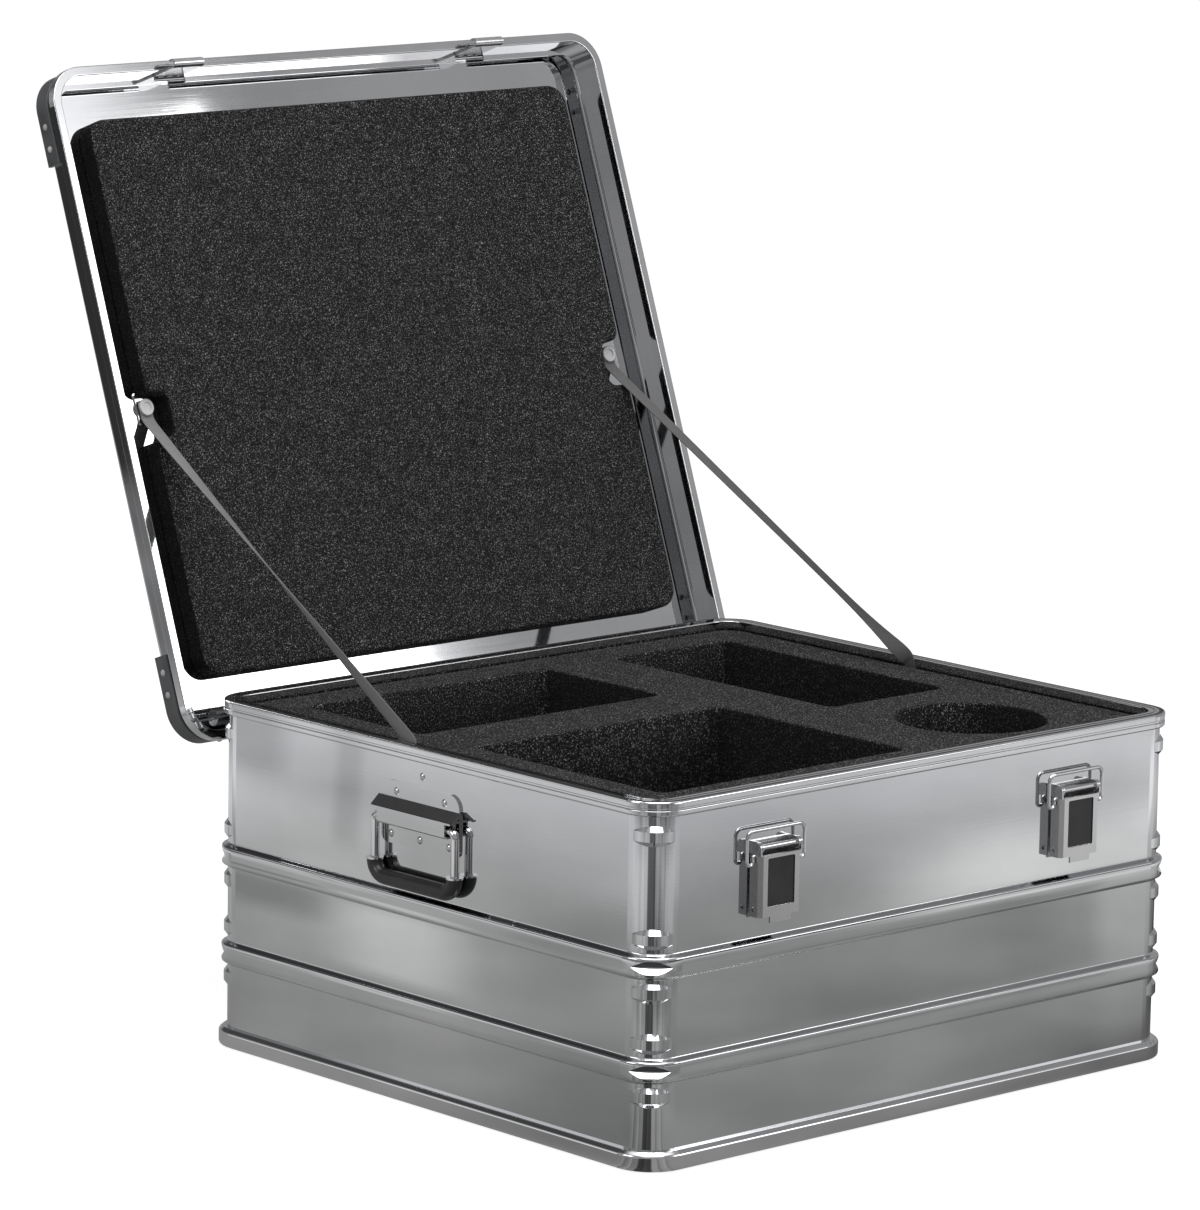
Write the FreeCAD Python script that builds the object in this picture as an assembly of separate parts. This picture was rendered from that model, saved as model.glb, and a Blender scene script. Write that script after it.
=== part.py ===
# Open transport case of sheet aluminium: a beaded body with rims, a hinged lid on two stay straps,
# two draw latches, two hinged carrying handles and a foam insert with pockets.
# Millimetres, +Z up. Origin at the centre of the bottom face, the front with the latches at -Y.
# The lid is drawn shut and then turned open about the hinge axis.
import FreeCAD, Part
import math
import os

V = FreeCAD.Vector

# Body
case_width = 600.0
case_depth = 545.0
body_height = 292.0
sheet = 1.5
corner_radius = 28.0
floor_thickness = 2.0
bottom_rim_proud = 7.0
bottom_rim_height = 15.5
bottom_rim_round = 3.0
cut_overrun = 1.0
running_clearance = 0.05
touch_gap = 0.1

# Beads: flat ridges, dented at the corners, and the bosses pressed into the corners
bead_high_below_rim = 130.5
bead_low_share = 0.489
bead_half_height = 9.75
bead_proud = 5.0
bead_face_half = 7.6
bead_foot_round = 1.4
bead_ridge_round = 1.7
dent_depth = 4.3
dent_half_height = 5.6
dent_half_length = 24.0
boss_bead_offset = 21.2
boss_top_drop = 28.0
boss_crest_height = 8.0
boss_upper_slope = 5.0
boss_lower_slope = 4.6
boss_proud = 3.1
boss_shift = 11.1
boss_sink = 0.4

# Top rim, an extruded frame with a seal groove, and the seal
top_rim_proud = 4.0
top_rim_outer_height = 12.0
top_rim_inner_reach = 10.0
top_rim_inner_height = 12.0
top_rim_leg_height = 14.0
top_rim_leg = 1.5
top_rim_slot_depth = 6.0
top_rim_web_depth = 5.0
top_rim_edge_round = 0.8
top_rim_outer_round = 1.7
top_rim_line_below = 5.4
top_rim_line_height = 2.0
top_rim_line_depth = 1.0
top_rim_line_slope = 0.5
top_rim_line_round = 0.8
seal_outer_reach = 2.5
seal_inner_reach = 1.0
seal_depth = 3.0
groove_outer_reach = 4.0
groove_inner_reach = 5.5
groove_depth = 1.5

# Foam insert, and its pockets set off from the foam's edges
foam_side_gap = 3.0
foam_below_rim = 7.0
foam_corner_radius = 20.0
foam_border_side = 43.0
foam_border_end = 38.5
pocket_corner_radius = 7.0
pocket_rear_width = 265.0
pocket_rear_length = 143.0
pocket_rear_depth = 150.0
pocket_right_width = 133.0
pocket_right_length = 268.0
pocket_right_depth = 150.0
pocket_front_width = 268.0
pocket_front_length = 219.0
pocket_front_depth = 190.0
pocket_round_radius = 63.0
pocket_round_from_side = 117.0
pocket_round_from_front = 94.5
pocket_round_depth = 150.0

# Lid, sizes counted inwards and upwards from the outer mouth edge
open_angle = 110.0
lid_overhang = 11.0
lid_height = 30.0
lid_corner_radius = 32.0
lid_below_rim = 16.0
flange_width = 8.0
flange_height = 8.0
flange_round = 0.8
ledge_reach = 16.0
ledge_gap = 0.2
ledge_thickness = 2.0
lid_edge_round = 6.0
lid_foam_side_border = 32.0
lid_foam_front_border = 35.5
lid_foam_rear_border = 47.0
lid_foam_thickness = 16.0
lid_foam_corner_radius = 18.0
lid_foam_notch_front = 20.0
lid_foam_notch_rear = 30.0
lid_foam_notch_depth = 22.0
lid_foam_notch_round = 9.0

# Corner bumpers on the lid, each held by two rivets in a leg
bumper_leg = 78.0
bumper_thickness = 4.8
bumper_low = 12.6
bumper_high = 29.0
bumper_round = 1.4
bumper_rivet_first = 45.0
bumper_rivet_pitch = 19.0
bumper_rivet_height = 21.2
bumper_rivet_radius = 2.8

# Rivets
rivet_radius = 3.2
rivet_head = 1.6
small_rivet_radius = 2.4
small_rivet_head = 1.0

# Hinge along the rear wall
hinge_below_rim = 21.0
hinge_rim_gap = 1.0
hinge_skirt_gap = 3.5
hinge_radius = 6.5
hinge_pin_radius = 2.5
hinge_end_inset = 7.0
hinge_knuckle_count = 11
hinge_knuckle_gap = 0.6
hinge_leaf = 2.0
hinge_leaf_end_inset = 24.0
hinge_leaf_drop = 30.0
hinge_lid_leaf_rise = 1.0
hinge_lid_leaf_height = 20.0
hinge_rivet_count = 8
hinge_rivet_margin = 18.0
hinge_case_rivet_drop = 21.0
hinge_lid_rivet_rise = 16.0

# Draw latches on the front
latch_x = 169.0
latch_width = 45.0
latch_depth = 13.5
latch_sheet = 1.5
latch_pivot_below_rim = 47.0
latch_lever_length = 55.0
latch_base_thickness = 1.5
latch_base_margin = 2.5
latch_ear_height = 12.0
latch_ear_gap = 0.5
latch_pivot_out = 9.0
latch_pivot_radius = 2.2
latch_eye_radius = 4.4
latch_face_below_pivot = 6.0
latch_edge_chamfer = 3.0
latch_recess_width = 29.0
latch_recess_height = 39.0
latch_recess_low = 7.5
latch_recess_depth = 1.6
latch_recess_round = 1.5
latch_plate_gap = 0.4
latch_plate_thickness = 0.8
latch_lip_height = 5.0
latch_seal_hole_radius = 2.0
latch_seal_hole_out = 6.0
latch_seal_hole_rise = 6.0
latch_rivet_first = 10.0
latch_rivet_pitch = 14.0
latch_rivet_count = 3
bail_radius = 1.5
bail_pivot_out = 6.6
bail_pivot_drop = 6.5
bail_hook_gap = 1.05
bail_side_gap = 0.5
bail_bend_radius = 6.0
bail_end_bend_radius = 2.0
bail_eye_width = 6.4
bail_eye_drop = 7.0
bail_eye_bend_radius = 3.0

# Hooks on the lid that the latch bails pull on
hook_width = 32.0
hook_sheet = 1.5
hook_high = 23.9
hook_drop = 11.0
hook_curl_radius = 3.2
hook_lip = 3.0
hook_notch_gap = 0.6
hook_rivet_height = 21.0
hook_rivet_spacing = 10.0

# Carrying handles on the two sides
handle_y = 4.0
handle_plate_half_width = 47.0
handle_axis_below_rim = 60.0
handle_plate_drop = 23.0
handle_plate_rise = 28.0
handle_plate_thickness = 2.0
handle_plate_round = 12.0
handle_plate_foot_round = 7.0
handle_roof_half_length = 49.0
handle_roof_rise = 15.5
handle_roof_reach = 12.0
handle_eave_rise = 6.5
handle_roof_lip = 1.8
handle_channel_half_length = 41.0
handle_channel_drop = 6.0
handle_channel_reach = 12.5
handle_channel_round = 2.5
handle_axis_out = 7.4
handle_wire_radius = 3.5
handle_arm_half_spacing = 48.5
handle_top_bend = 5.0
handle_bottom_bend = 13.0
handle_bar_drop = 50.0
handle_grip_radius = 6.6
handle_grip_drop = 37.0
handle_collar_height = 1.4
handle_collar_proud = 0.7
handle_bush_length = 8.0
handle_bush_inset = 6.0
handle_upper_rivet_spread = 29.0
handle_upper_rivet_rise = 20.2
handle_lower_rivet_spread = 35.0
handle_lower_rivet_drop = 15.0
handle_single_rivet_rise = 36.5

# Stay straps between the lid and the body
strap_width = 13.0
strap_thickness = 1.2
strap_lid_inset = 38.0
strap_lid_y = 8.0
strap_post_height = 2.0
strap_post_radius = 5.0
strap_foot_width = 16.0
strap_foot_length = 30.0
strap_foot_thickness = 1.5
strap_button_radius = 7.2
strap_button_height = 2.4
strap_button_dish_radius = 4.2
strap_button_dish = 0.9
strap_tail = 6.0
strap_lead = 11.0
strap_case_y = 30.0
strap_end_rise = 6.0
strap_clip_width = 22.0
strap_clip_drop = 2.0
strap_clip_height = 24.0
strap_clip_thickness = 0.9
strap_twist = 90.0
strap_station_shares = (0.0, 0.15, 0.3, 0.45, 0.6, 0.75, 0.9, 1.0)

# Places worked out from the sizes above
bead_high_z = body_height - bead_high_below_rim
bead_low_z = bead_high_z * bead_low_share
wall_x = case_width / 2 - bottom_rim_proud
wall_y = case_depth / 2 - bottom_rim_proud
rim_x = wall_x + top_rim_proud
rim_y = wall_y + top_rim_proud
lid_x = rim_x + lid_overhang
lid_front = -(rim_y + lid_overhang)
hinge_y = rim_y + hinge_rim_gap + hinge_radius
hinge_z = body_height - hinge_below_rim
lid_rear = hinge_y + hinge_radius + hinge_skirt_gap + flange_width
lid_z = body_height - lid_below_rim
lid_wall_inset = flange_width - sheet
ledge_low = lid_below_rim + ledge_gap
ledge_high = ledge_low + ledge_thickness
lid_inner_front = lid_front + flange_width
lid_inner_rear = lid_rear - flange_width
lid_panel_z = lid_z + lid_height - sheet
foam_top = body_height - foam_below_rim
rim_inner_x = wall_x - top_rim_inner_reach
rim_inner_y = wall_y - top_rim_inner_reach
foam_x = rim_inner_x - foam_side_gap
foam_y = rim_inner_y - foam_side_gap
lid_inner_x = lid_x - flange_width
lid_foam_x = lid_inner_x - lid_foam_side_border
strap_lid_x = lid_inner_x - strap_lid_inset
hinge_half_length = wall_x - hinge_end_inset
hinge_leaf_half_length = hinge_half_length - hinge_leaf_end_inset
latch_pivot_z = body_height - latch_pivot_below_rim
latch_bottom = latch_pivot_z - latch_lever_length
hook_low = lid_z - hook_drop - hook_curl_radius - hook_sheet / 2
bail_pivot_z = latch_pivot_z - bail_pivot_drop
bail_top_z = hook_low - bail_hook_gap - bail_radius
handle_axis_z = body_height - handle_axis_below_rim
handle_plate_low = handle_axis_z - handle_plate_drop
handle_plate_high = handle_axis_z + handle_plate_rise
handle_roof_high = handle_axis_z + handle_roof_rise
handle_roof_low = handle_axis_z + handle_eave_rise
handle_channel_low = handle_axis_z - handle_channel_drop
handle_bar_z = handle_axis_z - handle_bar_drop
handle_grip_top = handle_axis_z - handle_grip_drop
strap_clip_high = body_height - strap_clip_drop
strap_clip_low = strap_clip_high - strap_clip_height
strap_end_z = strap_clip_low + strap_end_rise
hinge_base = V(0, hinge_y, hinge_z)
axis_x = V(1, 0, 0)
axis_y = V(0, 1, 0)
axis_z = V(0, 0, 1)


def opened(shape):
    """Turns a lid piece from shut to its open rest place."""
    turned = shape.copy()
    turned.rotate(hinge_base, axis_x, -open_angle)
    return turned


def opened_point(point):
    """The open place of a point given on the shut lid."""
    turn = FreeCAD.Rotation(axis_x, -open_angle)
    return hinge_base + turn.multVec(point - hinge_base)


def box(x_low, x_high, y_low, y_high, z_low, z_high):
    """A block between two corners."""
    return Part.makeBox(x_high - x_low, y_high - y_low, z_high - z_low, V(x_low, y_low, z_low))


def rod(start, end, radius):
    """A round bar between two points."""
    return Part.makeCylinder(radius, (end - start).Length, start, end - start)


def rounded_wire(corners, place):
    """A closed wire through 2-D corners (a, b, radius), each rounded, put in space by place."""
    count = len(corners)
    starts = []
    middles = []
    ends = []
    for index in range(count):
        before = V(*corners[index - 1][:2])
        here = V(*corners[index][:2])
        after = V(*corners[(index + 1) % count][:2])
        radius = corners[index][2]
        to_before = (before - here).normalize()
        to_after = (after - here).normalize()
        half = to_before.getAngle(to_after) / 2
        reach = radius / math.tan(half)
        bisector = to_before + to_after
        starts.append(here + to_before * reach)
        ends.append(here + to_after * reach)
        if radius > 0:
            bisector.normalize()
            middles.append(here + bisector * (radius / math.sin(half) - radius))
        else:
            middles.append(None)
    edges = []
    for index in range(count):
        if middles[index] is not None:
            points = [place(p.x, p.y) for p in (starts[index], middles[index], ends[index])]
            edges.append(Part.Arc(*points).toShape())
        here = place(ends[index].x, ends[index].y)
        there = place(starts[(index + 1) % count].x, starts[(index + 1) % count].y)
        if (there - here).Length > Part.Precision.confusion():
            edges.append(Part.LineSegment(here, there).toShape())
    return Part.Wire(edges)


def plate(corners, place, push):
    """A flat plate with rounded corners, pushed to its thickness."""
    return Part.Face(rounded_wire(corners, place)).extrude(push)


def plan_corners(x_low, x_high, y_low, y_high, radius):
    """Corners of a rounded rectangle seen from above."""
    return [
        (x_high, y_low, radius),
        (x_high, y_high, radius),
        (x_low, y_high, radius),
        (x_low, y_low, radius),
    ]


def rounded_block(x_low, x_high, y_low, y_high, radius, z_low, z_high):
    """An upright block with rounded vertical corners."""
    corners = plan_corners(x_low, x_high, y_low, y_high, radius)
    return plate(corners, lambda a, b: V(a, b, z_low), axis_z * (z_high - z_low))


def ring_path(x_low, x_high, y_low, y_high, radius):
    """A rounded rectangle in plan that starts in the middle of its +X side."""
    y_middle = (y_low + y_high) / 2
    corners = [(x_high, y_middle, 0)]
    corners += [(x_high, y_high, radius), (x_low, y_high, radius)]
    corners += [(x_low, y_low, radius), (x_high, y_low, radius)]
    edges = []
    bow = radius * (1 - math.sqrt(0.5))
    for index in range(1, len(corners)):
        x, y, turn = corners[index]
        side_x = math.copysign(1, x - (x_low + x_high) / 2)
        side_y = math.copysign(1, y - y_middle)
        on_side = V(x, y - side_y * turn, 0)
        on_end = V(x - side_x * turn, y, 0)
        middle = V(x - side_x * bow, y - side_y * bow, 0)
        first, last = (on_side, on_end) if index in (1, 3) else (on_end, on_side)
        start = edges[-1].Vertexes[-1].Point if edges else V(x_high, y_middle, 0)
        edges.append(Part.LineSegment(start, first).toShape())
        edges.append(Part.Arc(first, middle, last).toShape())
    edges.append(Part.LineSegment(edges[-1].Vertexes[-1].Point, V(x_high, y_middle, 0)).toShape())
    return Part.Wire(edges)


def ring(section, x_low, x_high, y_low, y_high, radius):
    """Carries a section, given as (outwards, up, radius), round a rounded rectangle."""
    path = ring_path(x_low, x_high, y_low, y_high, radius)
    y_middle = (y_low + y_high) / 2
    wire = rounded_wire(section, lambda a, b: V(x_high + a, y_middle, b))
    solid = Part.Solid(path.makePipeShell([wire], True, False))
    if solid.Volume < 0:
        solid.reverse()
    return solid


def body_ring(section):
    """A ring round the body, counted outwards from the wall's outer face."""
    return ring(section, -wall_x, wall_x, -wall_y, wall_y, corner_radius)


def lid_ring(section):
    """A ring round the shut lid, counted outwards from its mouth edge and up from the mouth."""
    raised = [(out, up + lid_z, radius) for out, up, radius in section]
    return ring(raised, -lid_x, lid_x, lid_front, lid_rear, lid_corner_radius)


def wire_tube(points, bends, radius, closed=False):
    """A round wire through points, with each inner corner bent to its own radius."""
    edges = []
    count = len(points)
    last_end = None if closed else points[0]
    first_start = None
    for index in range(0 if closed else 1, count if closed else count - 1):
        here = points[index]
        to_before = (points[index - 1] - here).normalize()
        to_after = (points[(index + 1) % count] - here).normalize()
        half = to_before.getAngle(to_after) / 2
        reach = bends[index] / math.tan(half)
        bisector = (to_before + to_after).normalize()
        middle = here + bisector * (bends[index] / math.sin(half) - bends[index])
        start = here + to_before * reach
        end = here + to_after * reach
        if last_end is None:
            first_start = start
        else:
            edges.append(Part.LineSegment(last_end, start).toShape())
        edges.append(Part.Arc(start, middle, end).toShape())
        last_end = end
    edges.append(Part.LineSegment(last_end, first_start if closed else points[-1]).toShape())
    path = Part.Wire(edges)
    if closed:
        origin = first_start
        direction = edges[0].tangentAt(edges[0].FirstParameter)
    else:
        origin = points[0]
        direction = points[1] - points[0]
    circle = Part.Wire(Part.makeCircle(radius, origin, direction))
    solid = Part.Solid(path.makePipeShell([circle], True, False))
    if solid.Volume < 0:
        solid.reverse()
    return solid


def rivet(point, direction, radius, head):
    """A domed rivet head that stands on a face."""
    ball = (radius ** 2 + head ** 2) / (2 * head)
    half = math.asin(radius / ball) / 2
    bow = V(ball * math.sin(half), 0, head - ball + ball * math.cos(half))
    foot = Part.LineSegment(V(0, 0, 0), axis_x * radius).toShape()
    dome = Part.Arc(axis_x * radius, bow, axis_z * head).toShape()
    spine = Part.LineSegment(axis_z * head, V(0, 0, 0)).toShape()
    solid = Part.Face(Part.Wire([foot, dome, spine])).revolve(V(0, 0, 0), axis_z, 360)
    solid.Placement = FreeCAD.Placement(point, FreeCAD.Rotation(axis_z, direction))
    return solid


def save(name, shape):
    """Writes one node; a list of solids becomes one group."""
    whole = Part.makeCompound(shape) if isinstance(shape, list) else shape
    whole.exportStep("parts/" + name + ".step")


def bead_section(height, inset):
    """One bead from its foot up, on the outer face or set in by the sheet."""
    half_section = [
        (0, bead_half_height, bead_foot_round),
        (bead_proud, bead_face_half, bead_ridge_round),
    ]
    lower = [(out - inset, height - up, radius) for out, up, radius in half_section]
    upper = [(out - inset, height + up, radius) for out, up, radius in reversed(half_section)]
    return lower + upper


def body_wall():
    """Sheet wall with its beads, dented at the corners, and the bosses pressed outwards there."""
    top = body_height - top_rim_slot_depth
    outer = [(0, floor_thickness, 0)]
    inner = [(-sheet, floor_thickness, 0)]
    for height in (bead_low_z, bead_high_z):
        outer += bead_section(height, 0)
        inner += bead_section(height, sheet)
    outer.append((0, top, 0))
    inner.append((-sheet, top, 0))
    wall = body_ring(outer + inner[::-1])
    skin = sheet / 2
    inside = (-wall_x + skin, wall_x - skin, -wall_y + skin, wall_y - skin, corner_radius - skin)
    core = rounded_block(*inside, 0, body_height)
    heights = [bead_low_z - boss_bead_offset, bead_low_z + boss_bead_offset]
    heights += [bead_high_z - boss_bead_offset, bead_high_z + boss_bead_offset]
    heights.append(body_height - boss_top_drop)
    bosses = []
    dents = []
    for side_x in (-1, 1):
        for side_y in (-1, 1):
            diagonal = V(side_x, side_y, 0).normalize()
            corner = V(side_x * (wall_x - corner_radius), side_y * (wall_y - corner_radius), 0)
            for height in heights:
                centre = corner + diagonal * boss_shift + axis_z * height
                bosses.append(boss_lens(centre).cut(core))
            for height in (bead_low_z, bead_high_z):
                bosses.append(bead_backing(corner + axis_z * height).cut(core))
                dents.append(bead_dent(corner + axis_z * height, diagonal))
    return wall.fuse(bosses).cut(dents).removeSplitter()


def bead_backing(centre):
    """Metal gathered behind a bead at a corner, where the dent goes in."""
    reach = axis_z * (bead_face_half - bead_ridge_round)
    return rod(centre - reach, centre + reach, corner_radius + bead_proud - sheet / 2)


def bead_dent(centre, diagonal):
    """A straight wedge across the corner, deepest at its middle."""
    tip = centre + diagonal * (corner_radius + bead_proud - dent_depth)
    outer = diagonal * (dent_depth + cut_overrun)
    rise = axis_z * (dent_half_height * (dent_depth + cut_overrun) / dent_depth)
    across = diagonal.cross(axis_z) * dent_half_length
    points = [tip, tip + outer + rise, tip + outer - rise, tip]
    wedge = Part.Face(Part.makePolygon([point - across for point in points]))
    return wedge.extrude(across + across)


def boss_lens(centre):
    """A short drum with sloped ends, turned about an upright axis near the corner."""
    radius = corner_radius + boss_proud - boss_shift
    rim = radius - boss_proud - boss_sink
    crest_low = centre - axis_z * (boss_crest_height / 2)
    crest_high = centre + axis_z * (boss_crest_height / 2)
    low = crest_low - axis_z * boss_lower_slope
    high = crest_high + axis_z * boss_upper_slope
    points = [low, low + axis_x * rim, crest_low + axis_x * radius, crest_high + axis_x * radius]
    points += [high + axis_x * rim, high, low]
    return Part.Face(Part.makePolygon(points)).revolve(centre, axis_z, 360)


def bottom_rim():
    """Band round the foot of the body, rounded at its top edge."""
    section = [
        (0, 0, 0),
        (bottom_rim_proud, 0, bottom_rim_round),
        (bottom_rim_proud, bottom_rim_height - bottom_rim_round, bottom_rim_round),
        (bottom_rim_proud / 2, bottom_rim_height, bottom_rim_round / 2),
        (0, bottom_rim_height, 0),
    ]
    return body_ring(section)


def floor_pan():
    """Flat floor sheet that closes the body."""
    return rounded_block(-wall_x, wall_x, -wall_y, wall_y, corner_radius, 0, floor_thickness)


def top_rim():
    """Extruded frame on the wall's top edge: a slot for the sheet, a groove for the seal, a line outside."""
    line_high = -top_rim_line_below
    line_low = line_high - top_rim_line_height
    line_floor = top_rim_proud - top_rim_line_depth
    section = [
        (0, -top_rim_outer_height, 0),
        (top_rim_proud, -top_rim_outer_height, top_rim_outer_round),
        (top_rim_proud, line_low, top_rim_line_round),
        (line_floor, line_low + top_rim_line_slope, 0),
        (line_floor, line_high - top_rim_line_slope, 0),
        (top_rim_proud, line_high, top_rim_line_round),
        (top_rim_proud, 0, top_rim_outer_round),
        (seal_outer_reach, 0, 0),
        (seal_outer_reach, -seal_depth, 0),
        (-seal_inner_reach, -seal_depth, 0),
        (-seal_inner_reach, 0, 0),
        (-groove_outer_reach, 0, 0),
        (-groove_outer_reach, -groove_depth, 0),
        (-groove_inner_reach, -groove_depth, 0),
        (-groove_inner_reach, 0, 0),
        (-top_rim_inner_reach, 0, top_rim_edge_round),
        (-top_rim_inner_reach, -top_rim_inner_height, 0),
        (-top_rim_inner_reach + top_rim_leg, -top_rim_inner_height, 0),
        (-top_rim_inner_reach + top_rim_leg, -top_rim_web_depth, 0),
        (-sheet - top_rim_leg, -top_rim_web_depth, 0),
        (-sheet - top_rim_leg, -top_rim_leg_height, 0),
        (-sheet, -top_rim_leg_height, 0),
        (-sheet, -top_rim_slot_depth, 0),
        (0, -top_rim_slot_depth, 0),
    ]
    return body_ring([(out, up + body_height, radius) for out, up, radius in section])


def rim_seal():
    """Rubber strip that fills the groove of the top rim."""
    section = [
        (seal_outer_reach, body_height - seal_depth, 0),
        (seal_outer_reach, body_height, 0),
        (-seal_inner_reach, body_height, 0),
        (-seal_inner_reach, body_height - seal_depth, 0),
    ]
    return body_ring(section)


def foam_insert():
    """Foam block that fills the body, with pockets cut from its top."""
    plan = (-foam_x, foam_x, -foam_y, foam_y)
    block = rounded_block(*plan, foam_corner_radius, floor_thickness, foam_top)
    left = -foam_x + foam_border_side
    right = foam_x - foam_border_side
    front = -foam_y + foam_border_end
    rear = foam_y - foam_border_end
    top = foam_top + cut_overrun
    rectangles = [
        (left, left + pocket_rear_width, rear - pocket_rear_length, rear, pocket_rear_depth),
        (right - pocket_right_width, right, rear - pocket_right_length, rear, pocket_right_depth),
        (left, left + pocket_front_width, front, front + pocket_front_length, pocket_front_depth),
    ]
    pockets = []
    for x_low, x_high, y_low, y_high, depth in rectangles:
        place = (x_low, x_high, y_low, y_high, pocket_corner_radius)
        pockets.append(rounded_block(*place, foam_top - depth, top))
    x = foam_x - pocket_round_from_side
    y = -foam_y + pocket_round_from_front
    pockets.append(rod(V(x, y, foam_top - pocket_round_depth), V(x, y, top), pocket_round_radius))
    return block.cut(pockets)


def lid_frame():
    """Lid frame: the flange at the mouth, a low wall and the ledge that meets the seal."""
    section = [
        (0, 0, flange_round),
        (0, flange_height, flange_round),
        (-lid_wall_inset, flange_height, 0),
        (-lid_wall_inset, ledge_high, 0),
        (-ledge_reach, ledge_high, 0),
        (-ledge_reach, ledge_low, 0),
        (-flange_width, ledge_low, 0),
        (-flange_width, 0, flange_round),
    ]
    frame = lid_ring(section)
    notches = []
    half = hook_width / 2 + hook_notch_gap
    for x in (-latch_x, latch_x):
        z_low = lid_z + ledge_low - cut_overrun
        z_high = lid_z + ledge_high + cut_overrun
        y_high = lid_front + ledge_reach + cut_overrun
        notches.append(box(x - half, x + half, lid_inner_front, y_high, z_low, z_high))
    return frame.cut(notches)


def lid_tray(inset, z_low, z_high, edge_round):
    """A block with the lid's plan, set in from the mouth edge, with its top edge rounded."""
    radius = lid_corner_radius - inset
    plan = (-lid_x + inset, lid_x - inset, lid_front + inset, lid_rear - inset)
    block = rounded_block(*plan, radius, lid_z + z_low, lid_z + z_high)
    top_edges = [edge for edge in block.Edges if edge.BoundBox.ZMin > lid_z + z_high - edge_round]
    return block.makeFillet(edge_round, top_edges)


def lid_panel():
    """Drawn sheet that forms the lid's wall and top in one piece."""
    outer = lid_tray(lid_wall_inset, ledge_high, lid_height, lid_edge_round)
    inner = lid_tray(flange_width, ledge_high - cut_overrun, lid_height - sheet, lid_edge_round - sheet)
    return outer.cut(inner)


def lid_foam():
    """Foam pad glued inside the lid, with rounded corners and a notch at each strap."""
    half = lid_foam_x
    front = lid_inner_front + lid_foam_front_border
    rear = lid_inner_rear - lid_foam_rear_border
    notch_front = strap_lid_y - lid_foam_notch_front
    notch_rear = strap_lid_y + lid_foam_notch_rear
    radius = lid_foam_corner_radius
    bend = lid_foam_notch_round
    inner = half - lid_foam_notch_depth
    right = [
        (half, front, radius),
        (half, notch_front, bend),
        (inner, notch_front, bend),
        (inner, notch_rear, bend),
        (half, notch_rear, bend),
        (half, rear, radius),
    ]
    left = [(-x, y, bend_radius) for x, y, bend_radius in reversed(right)]
    z_low = lid_panel_z - lid_foam_thickness
    return plate(right + left, lambda a, b: V(a, b, z_low), axis_z * lid_foam_thickness)


def lid_bumpers():
    """Corner guards: a band round the lid wall, cut down to its four corners."""
    out_face = -(lid_wall_inset - bumper_thickness)
    section = [
        (-lid_wall_inset, bumper_low, 0),
        (out_face, bumper_low, bumper_round),
        (out_face, bumper_high, bumper_round),
        (-lid_wall_inset, bumper_high, 0),
    ]
    band = lid_ring(section)
    z_low = lid_z
    z_high = lid_z + lid_height
    corners = {
        "front_left": (-lid_x, -lid_x + bumper_leg, lid_front, lid_front + bumper_leg),
        "front_right": (lid_x - bumper_leg, lid_x, lid_front, lid_front + bumper_leg),
        "rear_left": (-lid_x, -lid_x + bumper_leg, lid_rear - bumper_leg, lid_rear),
        "rear_right": (lid_x - bumper_leg, lid_x, lid_rear - bumper_leg, lid_rear),
    }
    return {name: band.common(box(*place, z_low, z_high)) for name, place in corners.items()}


def bumper_rivets():
    """Rivet heads on the bumpers' legs, and their tails on the inside of the lid wall."""
    heads = []
    z = lid_z + bumper_rivet_height
    out_face = lid_wall_inset - bumper_thickness
    for along in (bumper_rivet_first, bumper_rivet_first + bumper_rivet_pitch):
        for side in (-1, 1):
            edge_x = side * lid_x
            for y in (lid_front + along, lid_rear - along):
                outward = axis_x * side
                outer = V(edge_x - side * out_face, y, z)
                inner = V(edge_x - side * flange_width, y, z)
                heads.append(rivet(outer, outward, bumper_rivet_radius, rivet_head))
                heads.append(rivet(inner, outward * -1, bumper_rivet_radius, rivet_head))
            x = edge_x - side * along
            for edge_y, facing in ((lid_front, -1), (lid_rear, 1)):
                outward = axis_y * facing
                outer = V(x, edge_y - facing * out_face, z)
                inner = V(x, edge_y - facing * flange_width, z)
                heads.append(rivet(outer, outward, bumper_rivet_radius, rivet_head))
                heads.append(rivet(inner, outward * -1, bumper_rivet_radius, rivet_head))
    return heads


def knuckles(owner):
    """Hinge barrels of one leaf: even places belong to the case, odd ones to the lid."""
    pitch = 2 * hinge_half_length / hinge_knuckle_count
    places = []
    for index in range(owner, hinge_knuckle_count, 2):
        start = -hinge_half_length + index * pitch + hinge_knuckle_gap / 2
        places.append((start, start + pitch - hinge_knuckle_gap))
    return places


def hinge_bore():
    """The hole along the hinge axis, with running clearance round the pin."""
    reach = hinge_half_length + cut_overrun
    radius = hinge_pin_radius + running_clearance
    return rod(V(-reach, hinge_y, hinge_z), V(reach, hinge_y, hinge_z), radius)


def hinge_case_leaf():
    """Leaf on the rear wall: a strip below the axis, joined to its barrels by webs."""
    length = hinge_leaf_half_length
    z_low = hinge_z - hinge_radius
    strip = box(-length, length, wall_y, wall_y + hinge_leaf, hinge_z - hinge_leaf_drop, z_low)
    pieces = []
    half_leaf = hinge_leaf / 2
    for start, end in knuckles(0):
        pieces.append(rod(V(start, hinge_y, hinge_z), V(end, hinge_y, hinge_z), hinge_radius))
        web_start = max(start, -length)
        web_end = min(end, length)
        pieces.append(box(web_start, web_end, wall_y, hinge_y, z_low - half_leaf, z_low + half_leaf))
    return strip.fuse(pieces).cut(hinge_bore())


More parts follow.
